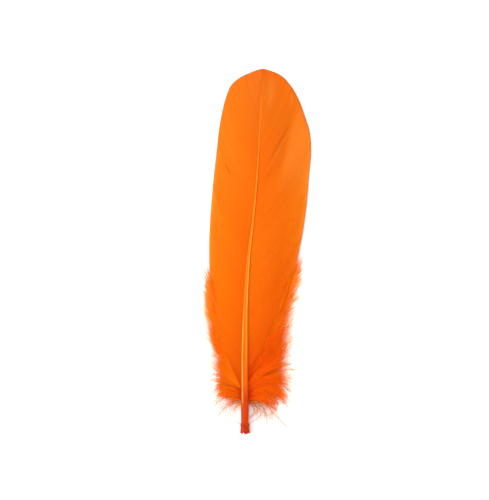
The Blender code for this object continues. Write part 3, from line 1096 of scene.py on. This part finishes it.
# %% [markdown]
# Every strand is a line of a few points with a radius at each, so the same small helpers serve all kinds: one
# thins a strand, one makes it wavy, and one picks points on another line. The last one is for tufts. Barbs
# above the down cling together in fours, and all in one tuft share how far they reach and lean, how high
# they come to rest, and how they sway.

# %% Helpers for strands
STRAND_POINTS = 12
THINS = 0.7  # below 1, a strand keeps its thickness for long and thins near its tip
REACH_VARIES, CLOSENESS = 0.05, (0.2, 1.0)
TUFT_HEIGHTS, TUFT_SWAY, TUFT_TURNS = (0.5, 1.8), (0.1, 0.5), (0.7, 1.2)


def taper(t, radius, tip=0.2):
    """A strand's radius along it: nearly even at first, then thinning to its tip."""
    return radius * (tip + (1 - tip) * (1 - t) ** THINS)


def ripple(at, rng, height, turns):
    """A wave along a strand: its height and its turns lie between two limits, and it starts anywhere."""
    return rng.uniform(*height) * np.sin(at * math.tau * rng.uniform(*turns) + rng.uniform(0, math.tau))


def points_along(line, at):
    """The points of a line at some shares of its length."""
    t = np.linspace(0.0, 1.0, len(line))
    return np.stack([np.interp(at, t, line[:, axis]) for axis in range(3)], -1)


def tuft(t, rng):
    """What the loose barbs of one tuft share: longer or shorter, lean, height at rest, and sway."""
    longer, lean = rng.normal(0, REACH_VARIES, 2)
    closeness = rng.uniform(*CLOSENESS)
    height = rng.uniform(*TUFT_HEIGHTS)
    return longer, lean * closeness, height, ripple(t, rng, TUFT_SWAY, TUFT_TURNS)


widths = taper(np.linspace(0.0, 1.0, 5), 1.0)
print("a strand's width along it:", [round(float(width), 2) for width in widths])

# %% [markdown]
# Barbs a little above the down are the vane's own. Their inner part is still hooked into the sheet, and only
# their ends have come free. So each loose strand starts on one barb, follows it to the edge, and goes on
# towards the place where the lock of that root ends.
#
# One barb ends in several strands, more at the foot, and they are of three kinds. Broad ones underneath close
# the web. Some lie on top: at the right they leave the sheet early, turn up along the vane's edge and pass
# over it. The rest are fine and make the fringe. A few are a quarter longer than the others, so the fringe
# has no even border.

# %% Measures of the loose barbs
# Station of a barb's root, then how far its loose end passes the vane's edge, sideways and along.
LOOSE_ENDS = {
    LEFT: (
        (19.5, 17.5, 7.5), (20.6, 15.0, 9.5), (22.4, 12.6, 11.5), (24.6, 10.4, 11.8), (29.0, 7.8, 10.2),
        (34.0, 6.0, 8.8), (40.0, 4.6, 7.8), (46.0, 3.0, 6.4), (50.0, 1.6, 4.4),
    ),
    RIGHT: (
        (19.5, 22.0, 5.0), (20.5, 21.0, 8.0), (22.2, 19.8, 11.5), (25.0, 17.6, 13.5), (28.0, 15.0, 13.0),
        (32.0, 12.0, 12.0), (38.0, 9.0, 11.0), (43.0, 6.6, 9.6), (46.5, 4.0, 7.0),
    ),
}
CLING = 4
FULL_BELOW, ENDS_BELOW, ENDS_ABOVE = 33.0, 20, 12  # the foot's barbs have the most loose ends
BROAD_BELOW, BROAD_ENDS = 43.0, 7
FADES_OVER, FADES_BY = 16.0, 0.75  # the last stations of the fringe, and how much thinner it gets there
BROAD_KIND, TOP_KIND, FINE_KIND = "broad", "on top", "fine"
# Where each kind leaves its barb, as shares of the way out.
LEAVES_AT = {
    BROAD_KIND: {LEFT: (0.78, 0.95), RIGHT: (0.78, 0.95)},
    TOP_KIND: {LEFT: (0.75, 0.95), RIGHT: (0.5, 0.9)},
    FINE_KIND: {LEFT: (0.9, 0.99), RIGHT: (0.9, 0.99)},
}
AT_EDGE = 0.995
REACHES = {BROAD_KIND: (0.3, 0.75), TOP_KIND: (0.35, 1.05), FINE_KIND: (0.35, 1.05)}
LONG_REACH, LONG_ONES = 1.25, 0.15
THICK = {BROAD_KIND: (0.13, 0.24), TOP_KIND: (0.04, 0.13)}
FINE_AT_END, FINE_MORE = (0.025, 0.05), (0.02, 0.045)  # radii where the fringe ends, and what they gain
UP_THE_EDGE, OVER_THE_EDGE = (0.35, 1.3), (2.0, 2.8)  # at the right: how ends on top turn, and their height
LEAVES_SHEET = 0.3  # share of a strand on top that stays on the sheet
# How much single strands differ from their tuft: lean, height at rest, place on the quill, sway.
LEAN_VARIES, HEIGHT_VARIES, ROOT_VARIES, SWAY_VARIES = 0.08, 0.4, 0.2, 0.3
SWAY_FULL_AT = 15  # a strand that reaches so many mm sways as much as its tuft
SWINGS_OUT = 1.25  # the larger, the later a strand leaves its barb's line
ON_SHEET, IN_RIDGE = 0.1, 0.12  # mm above and below the sheet's face
BROAD_SINKS = 0.3
LOWEST_STRAND = 0.35


def kind_of_end(root, end):
    """Which kind the loose ends of a barb are, counted from 0."""
    if root < BROAD_BELOW and end < BROAD_ENDS:
        return BROAD_KIND
    return TOP_KIND if end % 3 == 2 else FINE_KIND


kinds = [kind_of_end(FIRST_ROOT, end) for end in range(ENDS_BELOW)]
print("loose ends of the lowest barb:", {kind: kinds.count(kind) for kind in LEAVES_AT})

# %% Loose barbs along the lower edges
def loose_end(side, root, kind, full, shared, fading, rng):
    """One strand: it follows its barb to the edge, then goes on beyond it."""
    t = np.linspace(0.0, 1.0, STRAND_POINTS)
    longer, lean, height, sway = shared
    length = np.hypot(*full)
    run = np.array([full[1], -full[0]]) / length
    starts = rng.uniform(*LEAVES_AT[kind][side])
    reach = rng.uniform(*REACHES[kind])
    reach *= LONG_REACH if kind != BROAD_KIND and rng.random() < LONG_ONES else 1.0
    beyond = full * reach * (1 + longer) + run * length * (lean + rng.normal(0, LEAN_VARIES))
    rest_at = height + rng.normal(0, HEIGHT_VARIES)
    if kind == TOP_KIND and side == RIGHT:
        beyond = beyond * UP_THE_EDGE
        rest_at = rng.uniform(*OVER_THE_EDGE)
    roots = np.full(STRAND_POINTS, root + rng.uniform(-ROOT_VARIES, ROOT_VARIES))
    line = vane_points(side, roots, starts + (AT_EDGE - starts) * np.minimum(t * 2, 1))
    past = np.maximum(t - LEAVES_SHEET, 0.0) / (1 - LEAVES_SHEET) if kind == TOP_KIND else t
    own_sway = rng.normal(0, SWAY_VARIES) * np.sin(math.pi * t * rng.uniform(1.0, 2.0))
    aside = (sway + own_sway) * t * length / SWAY_FULL_AT
    line[:, :2] += beyond * past[:, None] ** SWINGS_OUT + run * aside[:, None]
    line[:, 2] += (rest_at - line[:, 2]) * past**2
    line[:, 2] += ON_SHEET * smooth_step(t, 0.0, 0.1) if kind == TOP_KIND else -IN_RIDGE * (1 - t) ** 4
    line[:, 2] = np.maximum(line[:, 2], LOWEST_STRAND)
    if kind == BROAD_KIND:
        line[:, 2] = np.maximum(line[:, 2] - BROAD_SINKS - BROAD_SINKS * t, LOWEST_STRAND)
    thick = THICK.get(kind, [end + more * fading for end, more in zip(FINE_AT_END, FINE_MORE)])
    return line, taper(t, rng.uniform(*thick))


def loose_barbs(side, seed):
    """All loose strands of one vane."""
    rng = np.random.default_rng(seed)
    t = np.linspace(0.0, 1.0, STRAND_POINTS)
    roots, sideways, upwards = np.array(LOOSE_ENDS[side]).T
    strands = []
    barb = 1
    while barb_root(barb) < roots[-1]:
        root = barb_root(barb)
        if barb % CLING == 1:
            shared = tuft(t, rng)
        full = np.array([side * np.interp(root, roots, sideways), np.interp(root, roots, upwards)])
        fading = 1 - FADES_BY * float(smooth_step(root, roots[-1] - FADES_OVER, roots[-1]))
        for end in range(ENDS_BELOW if root < FULL_BELOW else int(ENDS_ABOVE * fading)):
            strands.append(loose_end(side, root, kind_of_end(root, end), full, shared, fading, rng))
        barb += 1
    return strands


left_loose = sweep("left_loose_barbs", loose_barbs(LEFT, 41))
right_loose = sweep("right_loose_barbs", loose_barbs(RIGHT, 42))

# %% [markdown]
# A lock of down leaves the quill steeply, as every barb does, and then swings out and droops, so its line is
# an arch. The lowest locks are frayed: each ends where it likes. The upper ones at the left start under the
# vane. The ten rows of a table are a fan, and a rank from 0 at the foot to 1 picks a place in it, so any
# number of locks can be made from them.

# %% The line of a lock
LOWEST_TO_HIGHEST = (-0.4, 6.6)  # rows of the lock tables that the fan of down spans
BELOW_FIRST = (1.5, 6.0, 6.0)  # how root, tip's place and tip's station go on below the first row
FRAYED_TO = 0.22
UNDER_VANE_FROM = 0.25
ROOT_DROP, ROOT_DROP_UNDER = 0.3, 1.0  # mm below the quill's axis
SHORTER, ENDS_AROUND = (0.0, 6.0), (-3.0, 2.5)  # how a frayed lock's tip moves, in mm
TIP_OUT, TIP_ALONG, TIP_HEIGHTS = (-2.5, 0.6), (-2.0, 2.0), (0.4, 1.8)  # and how every tip does
ARCH, ARCH_GAIN = -0.30, 0.34  # the bow of the lowest lock, and how it turns round up to the highest
ARCH_VARIES, ARCH_FRAYS = 0.03, 0.07
BOW_TO_TIP = 0.8  # below 1, the bow is highest past its middle
LOCK_WAVE, LOCK_TURNS = (0.01, 0.035), (0.9, 1.6)
SINKS_LATE = 1.6
RISES, RISES_UNDER = (-0.4, 1.2), (-0.8, 0.1)


def lock_line(side, rank, rng):
    """The middle line of one lock, root to tip, and the direction across it."""
    rows = [(place, *row) for place, row in enumerate(LOCKS[side])]
    low, high = LOWEST_TO_HIGHEST
    at = low + (high - low) * rank
    root, x, station = through(rows, at)
    if at < 0:
        root_step, x_step, station_step = BELOW_FIRST
        root, x, station = root + at * root_step, x + side * at * x_step, station + at * station_step
    frayed = 1 - float(smooth_step(rank, 0.0, FRAYED_TO))
    x -= side * frayed * rng.uniform(*SHORTER)
    station += frayed * rng.uniform(*ENDS_AROUND)
    tip = np.array([
        x + side * rng.uniform(*TIP_OUT),
        station + rng.uniform(*TIP_ALONG),
        rng.uniform(*TIP_HEIGHTS),
    ])
    quill_x, quill_z, _ = quill_at(root)
    under_vane = side == LEFT and rank > UNDER_VANE_FROM
    start = np.array([quill_x, root, quill_z - (ROOT_DROP_UNDER if under_vane else ROOT_DROP)])
    chord = tip - start
    across = np.array([chord[1], -chord[0], 0.0]) * side
    t = np.linspace(0.0, 1.0, STRAND_POINTS)
    arch = ARCH + ARCH_GAIN * rank + rng.normal(0, ARCH_VARIES + ARCH_FRAYS * frayed)
    wave = ripple(t, rng, LOCK_WAVE, LOCK_TURNS) * t
    line = start + chord * t[:, None] + across * (4 * arch * t * (1 - t) ** BOW_TO_TIP + wave)[:, None]
    rise = rng.uniform(*(RISES_UNDER if under_vane else RISES))
    line[:, 2] = tip[2] + (start[2] - tip[2]) * (1 - t**SINKS_LATE) + rise * np.sin(math.pi * t)
    return line, across / np.hypot(*across[:2])


line, _ = lock_line(RIGHT, 0.5, np.random.default_rng(0))
print("a middle lock runs from", np.round(line[0], 1), "to", np.round(line[-1], 1))

# %% [markdown]
# Inside a lock the strands lie close at first, swell apart, cling again and part near the tips. Two passes
# make its body: a bed of broad strands underneath, which keeps the white surface from showing through, and
# the close core on top. A few long wisps leave the body, arch over on their own, and take some hairs along.

# %% The strands of a lock
CORE_ENDS, CORE_RADII = (0.5, 0.92), (0.08, 0.15)  # ends are shares of the way to the lock's tip
SPREAD, SWELLS, SWELL_STARTS, SWELL_RUNS = 0.3, 1.0, 0.06, 0.85
CORE_WAVE, CORE_TURNS = (0.08, 0.42), (1.2, 2.6)
CURLS, CURLS_LATE = 1.1, 2.5
CORE_LIFT, LIFT_GAIN, WAVE_LIFTS = 0.25, 0.35, 0.2
LOWEST_CORE, LOWEST_VARIES = 0.3, 0.2

WISP_ENDS, WISP_RADII, WISP_TIP = (0.72, 1.06), (0.055, 0.085), 0.35
DROOPS, DROOP_VARIES = 0.7, 1.3
WISP_WAVE, WISP_TURNS = (0.15, 0.6), (0.8, 1.8)
WISP_SPREAD, WISPS_PART = 0.4, 1.8
WISP_RISE, RISES_LATE, LOWEST_WISP = (-0.3, 1.2), 1.5, 0.4

HAIRS = 4  # beside each wisp
HAIR_RADII, HAIR_TIP = (0.025, 0.045), 0.4
HAIR_BOW, HAIR_BOWS, HAIR_STRAYS, HAIR_RISE = (-0.35, 0.35), (0.6, 1.0), 0.35, (-0.15, 0.25)


def core_of(line, across, rng, count, width, thick=CORE_RADII, sink=0.0, ends=CORE_ENDS):
    """The close strands of a lock, which stop short of its tip."""
    t = np.linspace(0.0, 1.0, STRAND_POINTS)
    made = []
    for _ in range(count):
        out, lift = rng.uniform(-1.0, 1.0, 2)
        at = t * rng.uniform(*ends)
        swell = SWELLS * np.sin(math.pi * np.minimum(at * SWELL_RUNS + SWELL_STARTS, 1.0))
        wave = ripple(at, rng, CORE_WAVE, CORE_TURNS)
        curl = rng.normal(0, CURLS) * at**CURLS_LATE
        aside = out * (width * (SPREAD + swell)) + wave * at + curl
        places = points_along(line, at) + across * aside[:, None]
        places[:, 2] += lift * (CORE_LIFT + LIFT_GAIN * at) + WAVE_LIFTS * wave - sink
        places[:, 2] = np.maximum(places[:, 2], LOWEST_CORE + LOWEST_VARIES * rng.random())
        made.append((places, taper(t, rng.uniform(*thick))))
    return made


def wisps_of(line, across, rng, count, width):
    """Long strands that leave the lock's body, arch over on their own, and carry a few hairs along."""
    t = np.linspace(0.0, 1.0, STRAND_POINTS)
    made = []
    for _ in range(count):
        out = rng.uniform(-1.0, 1.0)
        at = t * rng.uniform(*WISP_ENDS)
        past_tip = (line[-1] - line[-2]) * (np.maximum(at - 1.0, 0.0) * STRAND_POINTS)[:, None]
        places = points_along(line, at) + past_tip
        droop = rng.normal(DROOPS, DROOP_VARIES) * at**CURLS_LATE
        wave = ripple(at, rng, WISP_WAVE, WISP_TURNS)
        aside = out * width * (WISP_SPREAD + WISPS_PART * at) + droop + wave * at
        places = places + across * aside[:, None]
        rise = rng.uniform(*WISP_RISE) * at**RISES_LATE
        places[:, 2] = np.maximum(places[:, 2] + rise, LOWEST_WISP)
        made.append((places, taper(t, rng.uniform(*WISP_RADII), WISP_TIP)))
        for _ in range(HAIRS):
            bow = rng.uniform(*HAIR_BOW) * np.sin(math.pi * t * rng.uniform(*HAIR_BOWS))
            bow = bow + rng.normal(0, HAIR_STRAYS) * t**3
            hair = places + across * bow[:, None]
            hair[:, 2] += rng.uniform(*HAIR_RISE) * t
            made.append((hair, taper(t, rng.uniform(*HAIR_RADII), HAIR_TIP)))
    return made


print("a wisp is up to", 2 * WISP_RADII[1], "mm thick, a hair beside it", 2 * HAIR_RADII[1], "mm")

# %% [markdown]
# The lowest few locks of the fan are thin, so single strands show at the foot. The highest have a wider bed
# of more and longer strands, because there it closes the gap to the vane's loose barbs.

# %% Locks of down
LOCKS_A_SIDE = 46
LOCK_WIDTHS = (0.7, 1.3)
BED, CORE, WISPS = 11, 13, 4  # broad strands underneath, the close body, long single ones
THIN_LOCK = 0.4  # share of its strands that the lowest lock has
THIN_TO, BED_FROM, HIGHEST = (0.0, 0.14), (0.02, 0.12), (0.68, 0.85)  # ranks in the fan
BED_RADII, BED_SINK = (0.22, 0.36), 0.45
BED_WIDTH, BED_WIDTH_GAIN = 1.3, 0.5
BED_MORE, BED_LONGER = 0.7, 0.15


def locks_of_down(side, seed):
    """The body and the wisps of all locks on one side."""
    rng = np.random.default_rng(seed)
    core, wisps = [], []
    for rank in np.linspace(0.0, 1.0, LOCKS_A_SIDE):
        line, across = lock_line(side, float(rank), rng)
        width = rng.uniform(*LOCK_WIDTHS)
        close = THIN_LOCK + (1 - THIN_LOCK) * float(smooth_step(rank, *THIN_TO))
        highest = float(smooth_step(rank, *HIGHEST))
        bed = int(BED * smooth_step(rank, *BED_FROM) * (1 + BED_MORE * highest))
        bed_width = width * (BED_WIDTH + BED_WIDTH_GAIN * highest)
        bed_ends = (CORE_ENDS[0] + BED_LONGER * highest, CORE_ENDS[1])
        core += core_of(line, across, rng, bed, bed_width, BED_RADII, BED_SINK, bed_ends)
        core += core_of(line, across, rng, int(CORE * close), width)
        wisps += wisps_of(line, across, rng, max(1, int(WISPS * close)), width)
    return core, wisps


left_core, left_wisps = locks_of_down(LEFT, 31)
right_core, right_wisps = locks_of_down(RIGHT, 32)
left_down = sweep("left_down", left_core + left_wisps)
right_down = sweep("right_down", right_core + right_wisps)

# %% [markdown]
# At the quill's foot single hairs stand out against the white. A few long ones are what one remembers of it,
# so they are drawn one by one, on courses of five points. The rest curl away at random: each starts at the
# quill, sets off in some direction and keeps turning. One that would come down too far is squeezed up.

# %% Stray hairs at the foot
STRAYS = {LEFT: 50, RIGHT: 150}
STRAYS_STOP = 4.2  # no stray hair of the random ones comes below this station
STRAY_POINTS = 20
STRAY_RADII, STRAY_TIP = (0.035, 0.075), 0.45
STRAY_ROOTS, STRAY_LENGTHS = (14.5, 21.0), (6.0, 22.0)
SETS_OFF, TURNS_BY, TURNS_LATE = (-35, 40), (-20, 150), 1.2  # degrees upwards, degrees downwards
STRAY_DROP, STRAY_HEIGHTS, STRAY_SINKS_LATE = 0.4, (0.4, 2.6), 1.5
LONG_HAIR_RADIUS, LONG_HAIR_TIP = 0.11, 0.5
LONG_HAIR_SINKS, LONG_HAIR_LOWEST = 2.2, 0.5
# The few long hairs: sideways place and station along each.
LONG_HAIRS = {
    LEFT: (((-8.6, 16.0), (-12.5, 15.4), (-17.0, 12.8), (-20.6, 8.6), (-21.8, 5.2)),),
    RIGHT: (
        ((-6.4, 16.4), (0.9, 17.3), (3.4, 13.8), (0.9, 8.9), (-4.2, 5.2)),
        ((-6.4, 17.0), (-1.0, 17.2), (4.9, 11.8), (9.4, 6.6), (13.3, 2.6)),
        ((-6.4, 16.0), (0.2, 15.0), (2.9, 8.9), (3.6, 4.6), (3.9, 0.8)),
        ((-6.4, 17.4), (2.0, 17.8), (8.4, 14.0), (6.4, 9.6), (1.6, 8.0)),
        ((-6.4, 17.0), (0.0, 16.6), (5.6, 10.8), (11.0, 5.2), (14.8, 1.6)),
        ((-6.4, 16.8), (2.6, 17.6), (8.8, 15.0), (12.0, 14.4), (15.0, 15.2)),
        ((-6.4, 16.2), (-3.4, 14.8), (-1.4, 12.0), (-2.6, 9.4), (-5.0, 7.6)),
        ((-6.4, 16.4), (-0.6, 15.6), (1.6, 12.4), (-0.4, 8.2), (-1.2, 5.8)),
    ),
}


def long_hairs_of(side):
    """The hairs drawn one by one. Each sinks evenly from the quill to the surface."""
    t = np.linspace(0.0, 1.0, STRAY_POINTS)
    made = []
    for course in LONG_HAIRS[side]:
        line = through([(step, *place) for step, place in enumerate(course)], t * (len(course) - 1))
        height = LONG_HAIR_SINKS * (1 - t) + LONG_HAIR_LOWEST
        made.append((np.column_stack([line, height]), taper(t, LONG_HAIR_RADIUS, LONG_HAIR_TIP)))
    return made


def strays_of(side, seed):
    """Single hairs at the foot that curl away from the down, each on its own course."""
    rng = np.random.default_rng(seed)
    t = np.linspace(0.0, 1.0, STRAY_POINTS)
    made = []
    for _ in range(STRAYS[side]):
        root = rng.uniform(*STRAY_ROOTS)
        quill_x, quill_z, radius = quill_at(root)
        heading = math.radians(rng.uniform(*SETS_OFF))
        heading = heading - math.radians(rng.uniform(*TURNS_BY)) * t**TURNS_LATE
        steps = np.stack([side * np.cos(heading), np.sin(heading)], -1)
        steps = steps * rng.uniform(*STRAY_LENGTHS) / STRAY_POINTS
        line = np.zeros((STRAY_POINTS, 3))
        line[:, :2] = np.array([quill_x + side * 0.5 * radius, root]) + np.cumsum(steps, axis=0)
        lowest = line[:, 1].min()
        if lowest < STRAYS_STOP:
            line[:, 1] = root + (line[:, 1] - root) * (root - STRAYS_STOP) / (root - lowest)
        fall = rng.uniform(*STRAY_HEIGHTS) - quill_z + STRAY_DROP
        line[:, 2] = quill_z - STRAY_DROP + fall * t**STRAY_SINKS_LATE
        made.append((line, taper(t, rng.uniform(*STRAY_RADII), STRAY_TIP)))
    return made


left_strays = sweep("left_stray_hairs", long_hairs_of(LEFT) + strays_of(LEFT, 61))
right_strays = sweep("right_stray_hairs", long_hairs_of(RIGHT) + strays_of(RIGHT, 62))

# %% [markdown]
# Each strand of down is itself feathered with barbules, so fine that the eye sees them as a soft haze. Short
# curved hairs that branch off the strands give that haze. They are the thinnest thing here and there are
# thousands of them, so they are only three points long.

# %% Barbules
BARBULES = 8000
BARBULE_POINTS = 3
BARBULE_RADII, BARBULE_TIP = (0.016, 0.028), 0.3
BRANCH_FROM = 3  # the first point of a strand that carries any
BRANCHES_AT, BENDS = (22, 60), (-0.3, 0.9)  # degrees from the strand, and how much of that they bend back
BARBULE_LENGTHS, SHORTER_OUT, BARBULE_RISE = (0.7, 2.6), 0.4, (-0.25, 0.45)


def barbules_on(strands, seed):
    """Short hairs that branch off the given strands, anywhere but at their roots."""
    rng = np.random.default_rng(seed)
    t = np.linspace(0.0, 1.0, BARBULE_POINTS)
    made = []
    for _ in range(BARBULES):
        places, _ = strands[rng.integers(len(strands))]
        at = int(rng.integers(BRANCH_FROM, len(places) - 1))
        ahead = places[at] - places[at - 1]
        turn = math.radians(rng.uniform(*BRANCHES_AT)) * rng.choice((-1, 1))
        bend = turn * t * rng.uniform(*BENDS)
        length = rng.uniform(*BARBULE_LENGTHS) * (1 - SHORTER_OUT * at / len(places))
        heading = math.atan2(ahead[1], ahead[0]) + turn - bend
        rise = np.full(BARBULE_POINTS, rng.uniform(*BARBULE_RISE))
        steps = np.stack([np.cos(heading), np.sin(heading), rise], -1)
        line = places[at] + (np.cumsum(steps, axis=0) - steps[0]) * length / (len(t) - 1)
        line[:, 2] = np.maximum(line[:, 2], LOWEST_CORE)
        made.append((line, taper(t, rng.uniform(*BARBULE_RADII), BARBULE_TIP)))
    return made


left_haze = sweep("left_barbules", barbules_on(left_core + left_wisps, 51))
right_haze = sweep("right_barbules", barbules_on(right_core + right_wisps, 52))

# %% [markdown]
# A strand of down is as thin as a hair and takes the dye evenly, so a lock is deep orange where its strands
# lie close, because light that gets out of it has met dye many times. Where a strand stands alone, past the
# locks' tips, it looks paler. At the right the roots beside the quill's foot lie in its shade and look dark.
#
# One recipe serves every kind of strand, with colours of its own for each. A ramp runs from root to tip along
# the strand's own map, and the down's dark roots beside the quill are painted shade. The strand's tone and a
# little noise keep neighbours apart: low tones go towards a dark colour, high ones towards a light one. The
# mesh's number for standing alone brings in the pale one.

# %% The finish of the down
MOTTLE_GRAIN = (700.0, 700.0, 700.0)
STRAND_SHARE, MOTTLE_SHARE = 0.8, 0.2
DARK_BELOW, DARK_GAIN = 0.45, 1.6
LIGHT_ABOVE, LIGHT_GAIN = 0.6, 2.0
LIGHT_ALONG = ((0.08, 0.2), (0.4, 1.0))  # roots catch less light than the rest
PALE_SHOWS = 0.9
SHADED_FOOT, SHADED_ROOT = ((0.1, 1.0), (0.185, 0.0)), ((0.08, 1.0), (0.3, 0.0))
SHEEN, SHEEN_ROUGHNESS, SHEEN_COLOUR = 0.08, 0.6, "FF8A24"


def strand_finish(name, stops, dark, light, pale=None, foot=None):
    """Stops are the colours from root to tip. Each strand has its own tone, from dark to light."""
    finish, tree, shader = new_finish(name, roughness=0.75, specular=0.03)
    shader.inputs["Sheen Weight"].default_value = SHEEN
    shader.inputs["Sheen Roughness"].default_value = SHEEN_ROUGHNESS
    shader.inputs["Sheen Tint"].default_value = dye(SHEEN_COLOUR)
    from_root, _, _ = laid_out(tree)
    place = object_place(tree)
    mottle = grain(tree, place, MOTTLE_GRAIN, detail=2.0)
    own = times(tree, attribute(tree, "tone"), STRAND_SHARE)
    tone = sums(tree, "ADD", own, times(tree, mottle, MOTTLE_SHARE))
    deep = sums(tree, "MAXIMUM", 0.0, minus(tree, DARK_BELOW, tone))
    colour = blend(tree, times(tree, deep, DARK_GAIN), ramp(tree, from_root, stops), dark)
    bright = sums(tree, "MAXIMUM", 0.0, minus(tree, tone, LIGHT_ABOVE))
    bright = times(tree, bright, ramp(tree, from_root, LIGHT_ALONG))
    colour = blend(tree, times(tree, bright, LIGHT_GAIN), colour, light)
    if pale:
        colour = blend(tree, times(tree, attribute(tree, "alone"), PALE_SHOWS), colour, pale)
    if foot:
        low_down = ramp(tree, along_feather(tree, place), SHADED_FOOT)
        colour = blend(tree, times(tree, low_down, ramp(tree, from_root, SHADED_ROOT)), colour, foot)
    wire(tree, colour, shader.inputs["Base Color"])
    bump(tree, shader, mottle, strength=0.2, distance=0.05 * MM)
    print(name, "nodes:", len(tree.nodes))
    return finish


# The dark first stops of the down on both sides are painted shade, where the roots lie beside the quill and
# under the vane.
left_down_dye = strand_finish(
    "dyed_left_down",
    ((0.0, "A42800"), (0.16, "B03200"), (0.3, "D44802"), (0.48, "EA5802"), (0.75, "F06804"), (1.0, "F07C0A")),
    dark="D84400", light="FF8010", pale="FFA53C",
)
right_down_dye = strand_finish(
    "dyed_right_down",
    ((0.0, "CC3800"), (0.2, "D03C00"), (0.33, "DE4800"), (0.48, "EC5000"), (0.78, "F25C02"), (1.0, "F26E06")),
    dark="E04400", light="FF6E0A", pale="FFA53C", foot="B82800",
)
barbule_dye = strand_finish(
    "dyed_barbules",
    ((0.0, "EE6204"), (1.0, "F0760A")),
    dark="E25402", light="FF7E10", pale="FFAC44",
)
stray_dye = strand_finish(
    "dyed_stray_hairs",
    ((0.0, "B0440C"), (0.35, "C86818"), (1.0, "CC7A2C")),
    dark="9C4410", light="EC9840",
)
loose_dye = strand_finish(
    "dyed_loose_barbs",
    ((0.0, "CA4A00"), (0.16, "E25C02"), (0.4, "F26C04"), (0.75, "F27608"), (1.0, "F07E0E")),
    dark="E05400", light="FF7E0E", pale="FFA53C",
)

# %% [markdown]
# Last, every piece is tied to the imported model. The feather is one body, so all pieces ride on it, and all of
# them together stand for its one CAD node. The list pairs each with the name of a material slot of the record:
# the vanes and their own barbs, the quill, or the down. The section that was swept and the bare grid were only
# tools, so they are removed.

# %% Put every piece on the feather's body
STRAND_DYES = (
    (left_down, left_down_dye),
    (right_down, right_down_dye),
    (left_haze, barbule_dye),
    (right_haze, barbule_dye),
    (left_strays, stray_dye),
    (right_strays, stray_dye),
    (left_loose, loose_dye),
    (right_loose, loose_dye),
)
for piece, finish in STRAND_DYES:
    piece.data.materials.append(finish)
SLOTS = (
    (left_vane, "dyed_vane"),
    (right_vane, "dyed_vane"),
    (left_loose, "dyed_vane"),
    (right_loose, "dyed_vane"),
    (quill, "dyed_quill"),
    (left_down, "dyed_down"),
    (right_down, "dyed_down"),
    (left_strays, "dyed_down"),
    (right_strays, "dyed_down"),
    (left_haze, "dyed_down"),
    (right_haze, "dyed_down"),
)
for piece, slot in SLOTS:
    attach(piece, "root")
    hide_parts("goose_feather")
bpy.data.objects.remove(STRAND_SECTION)
bpy.data.meshes.remove(grid_mesh)
print("pieces on the body:", len(SLOTS))
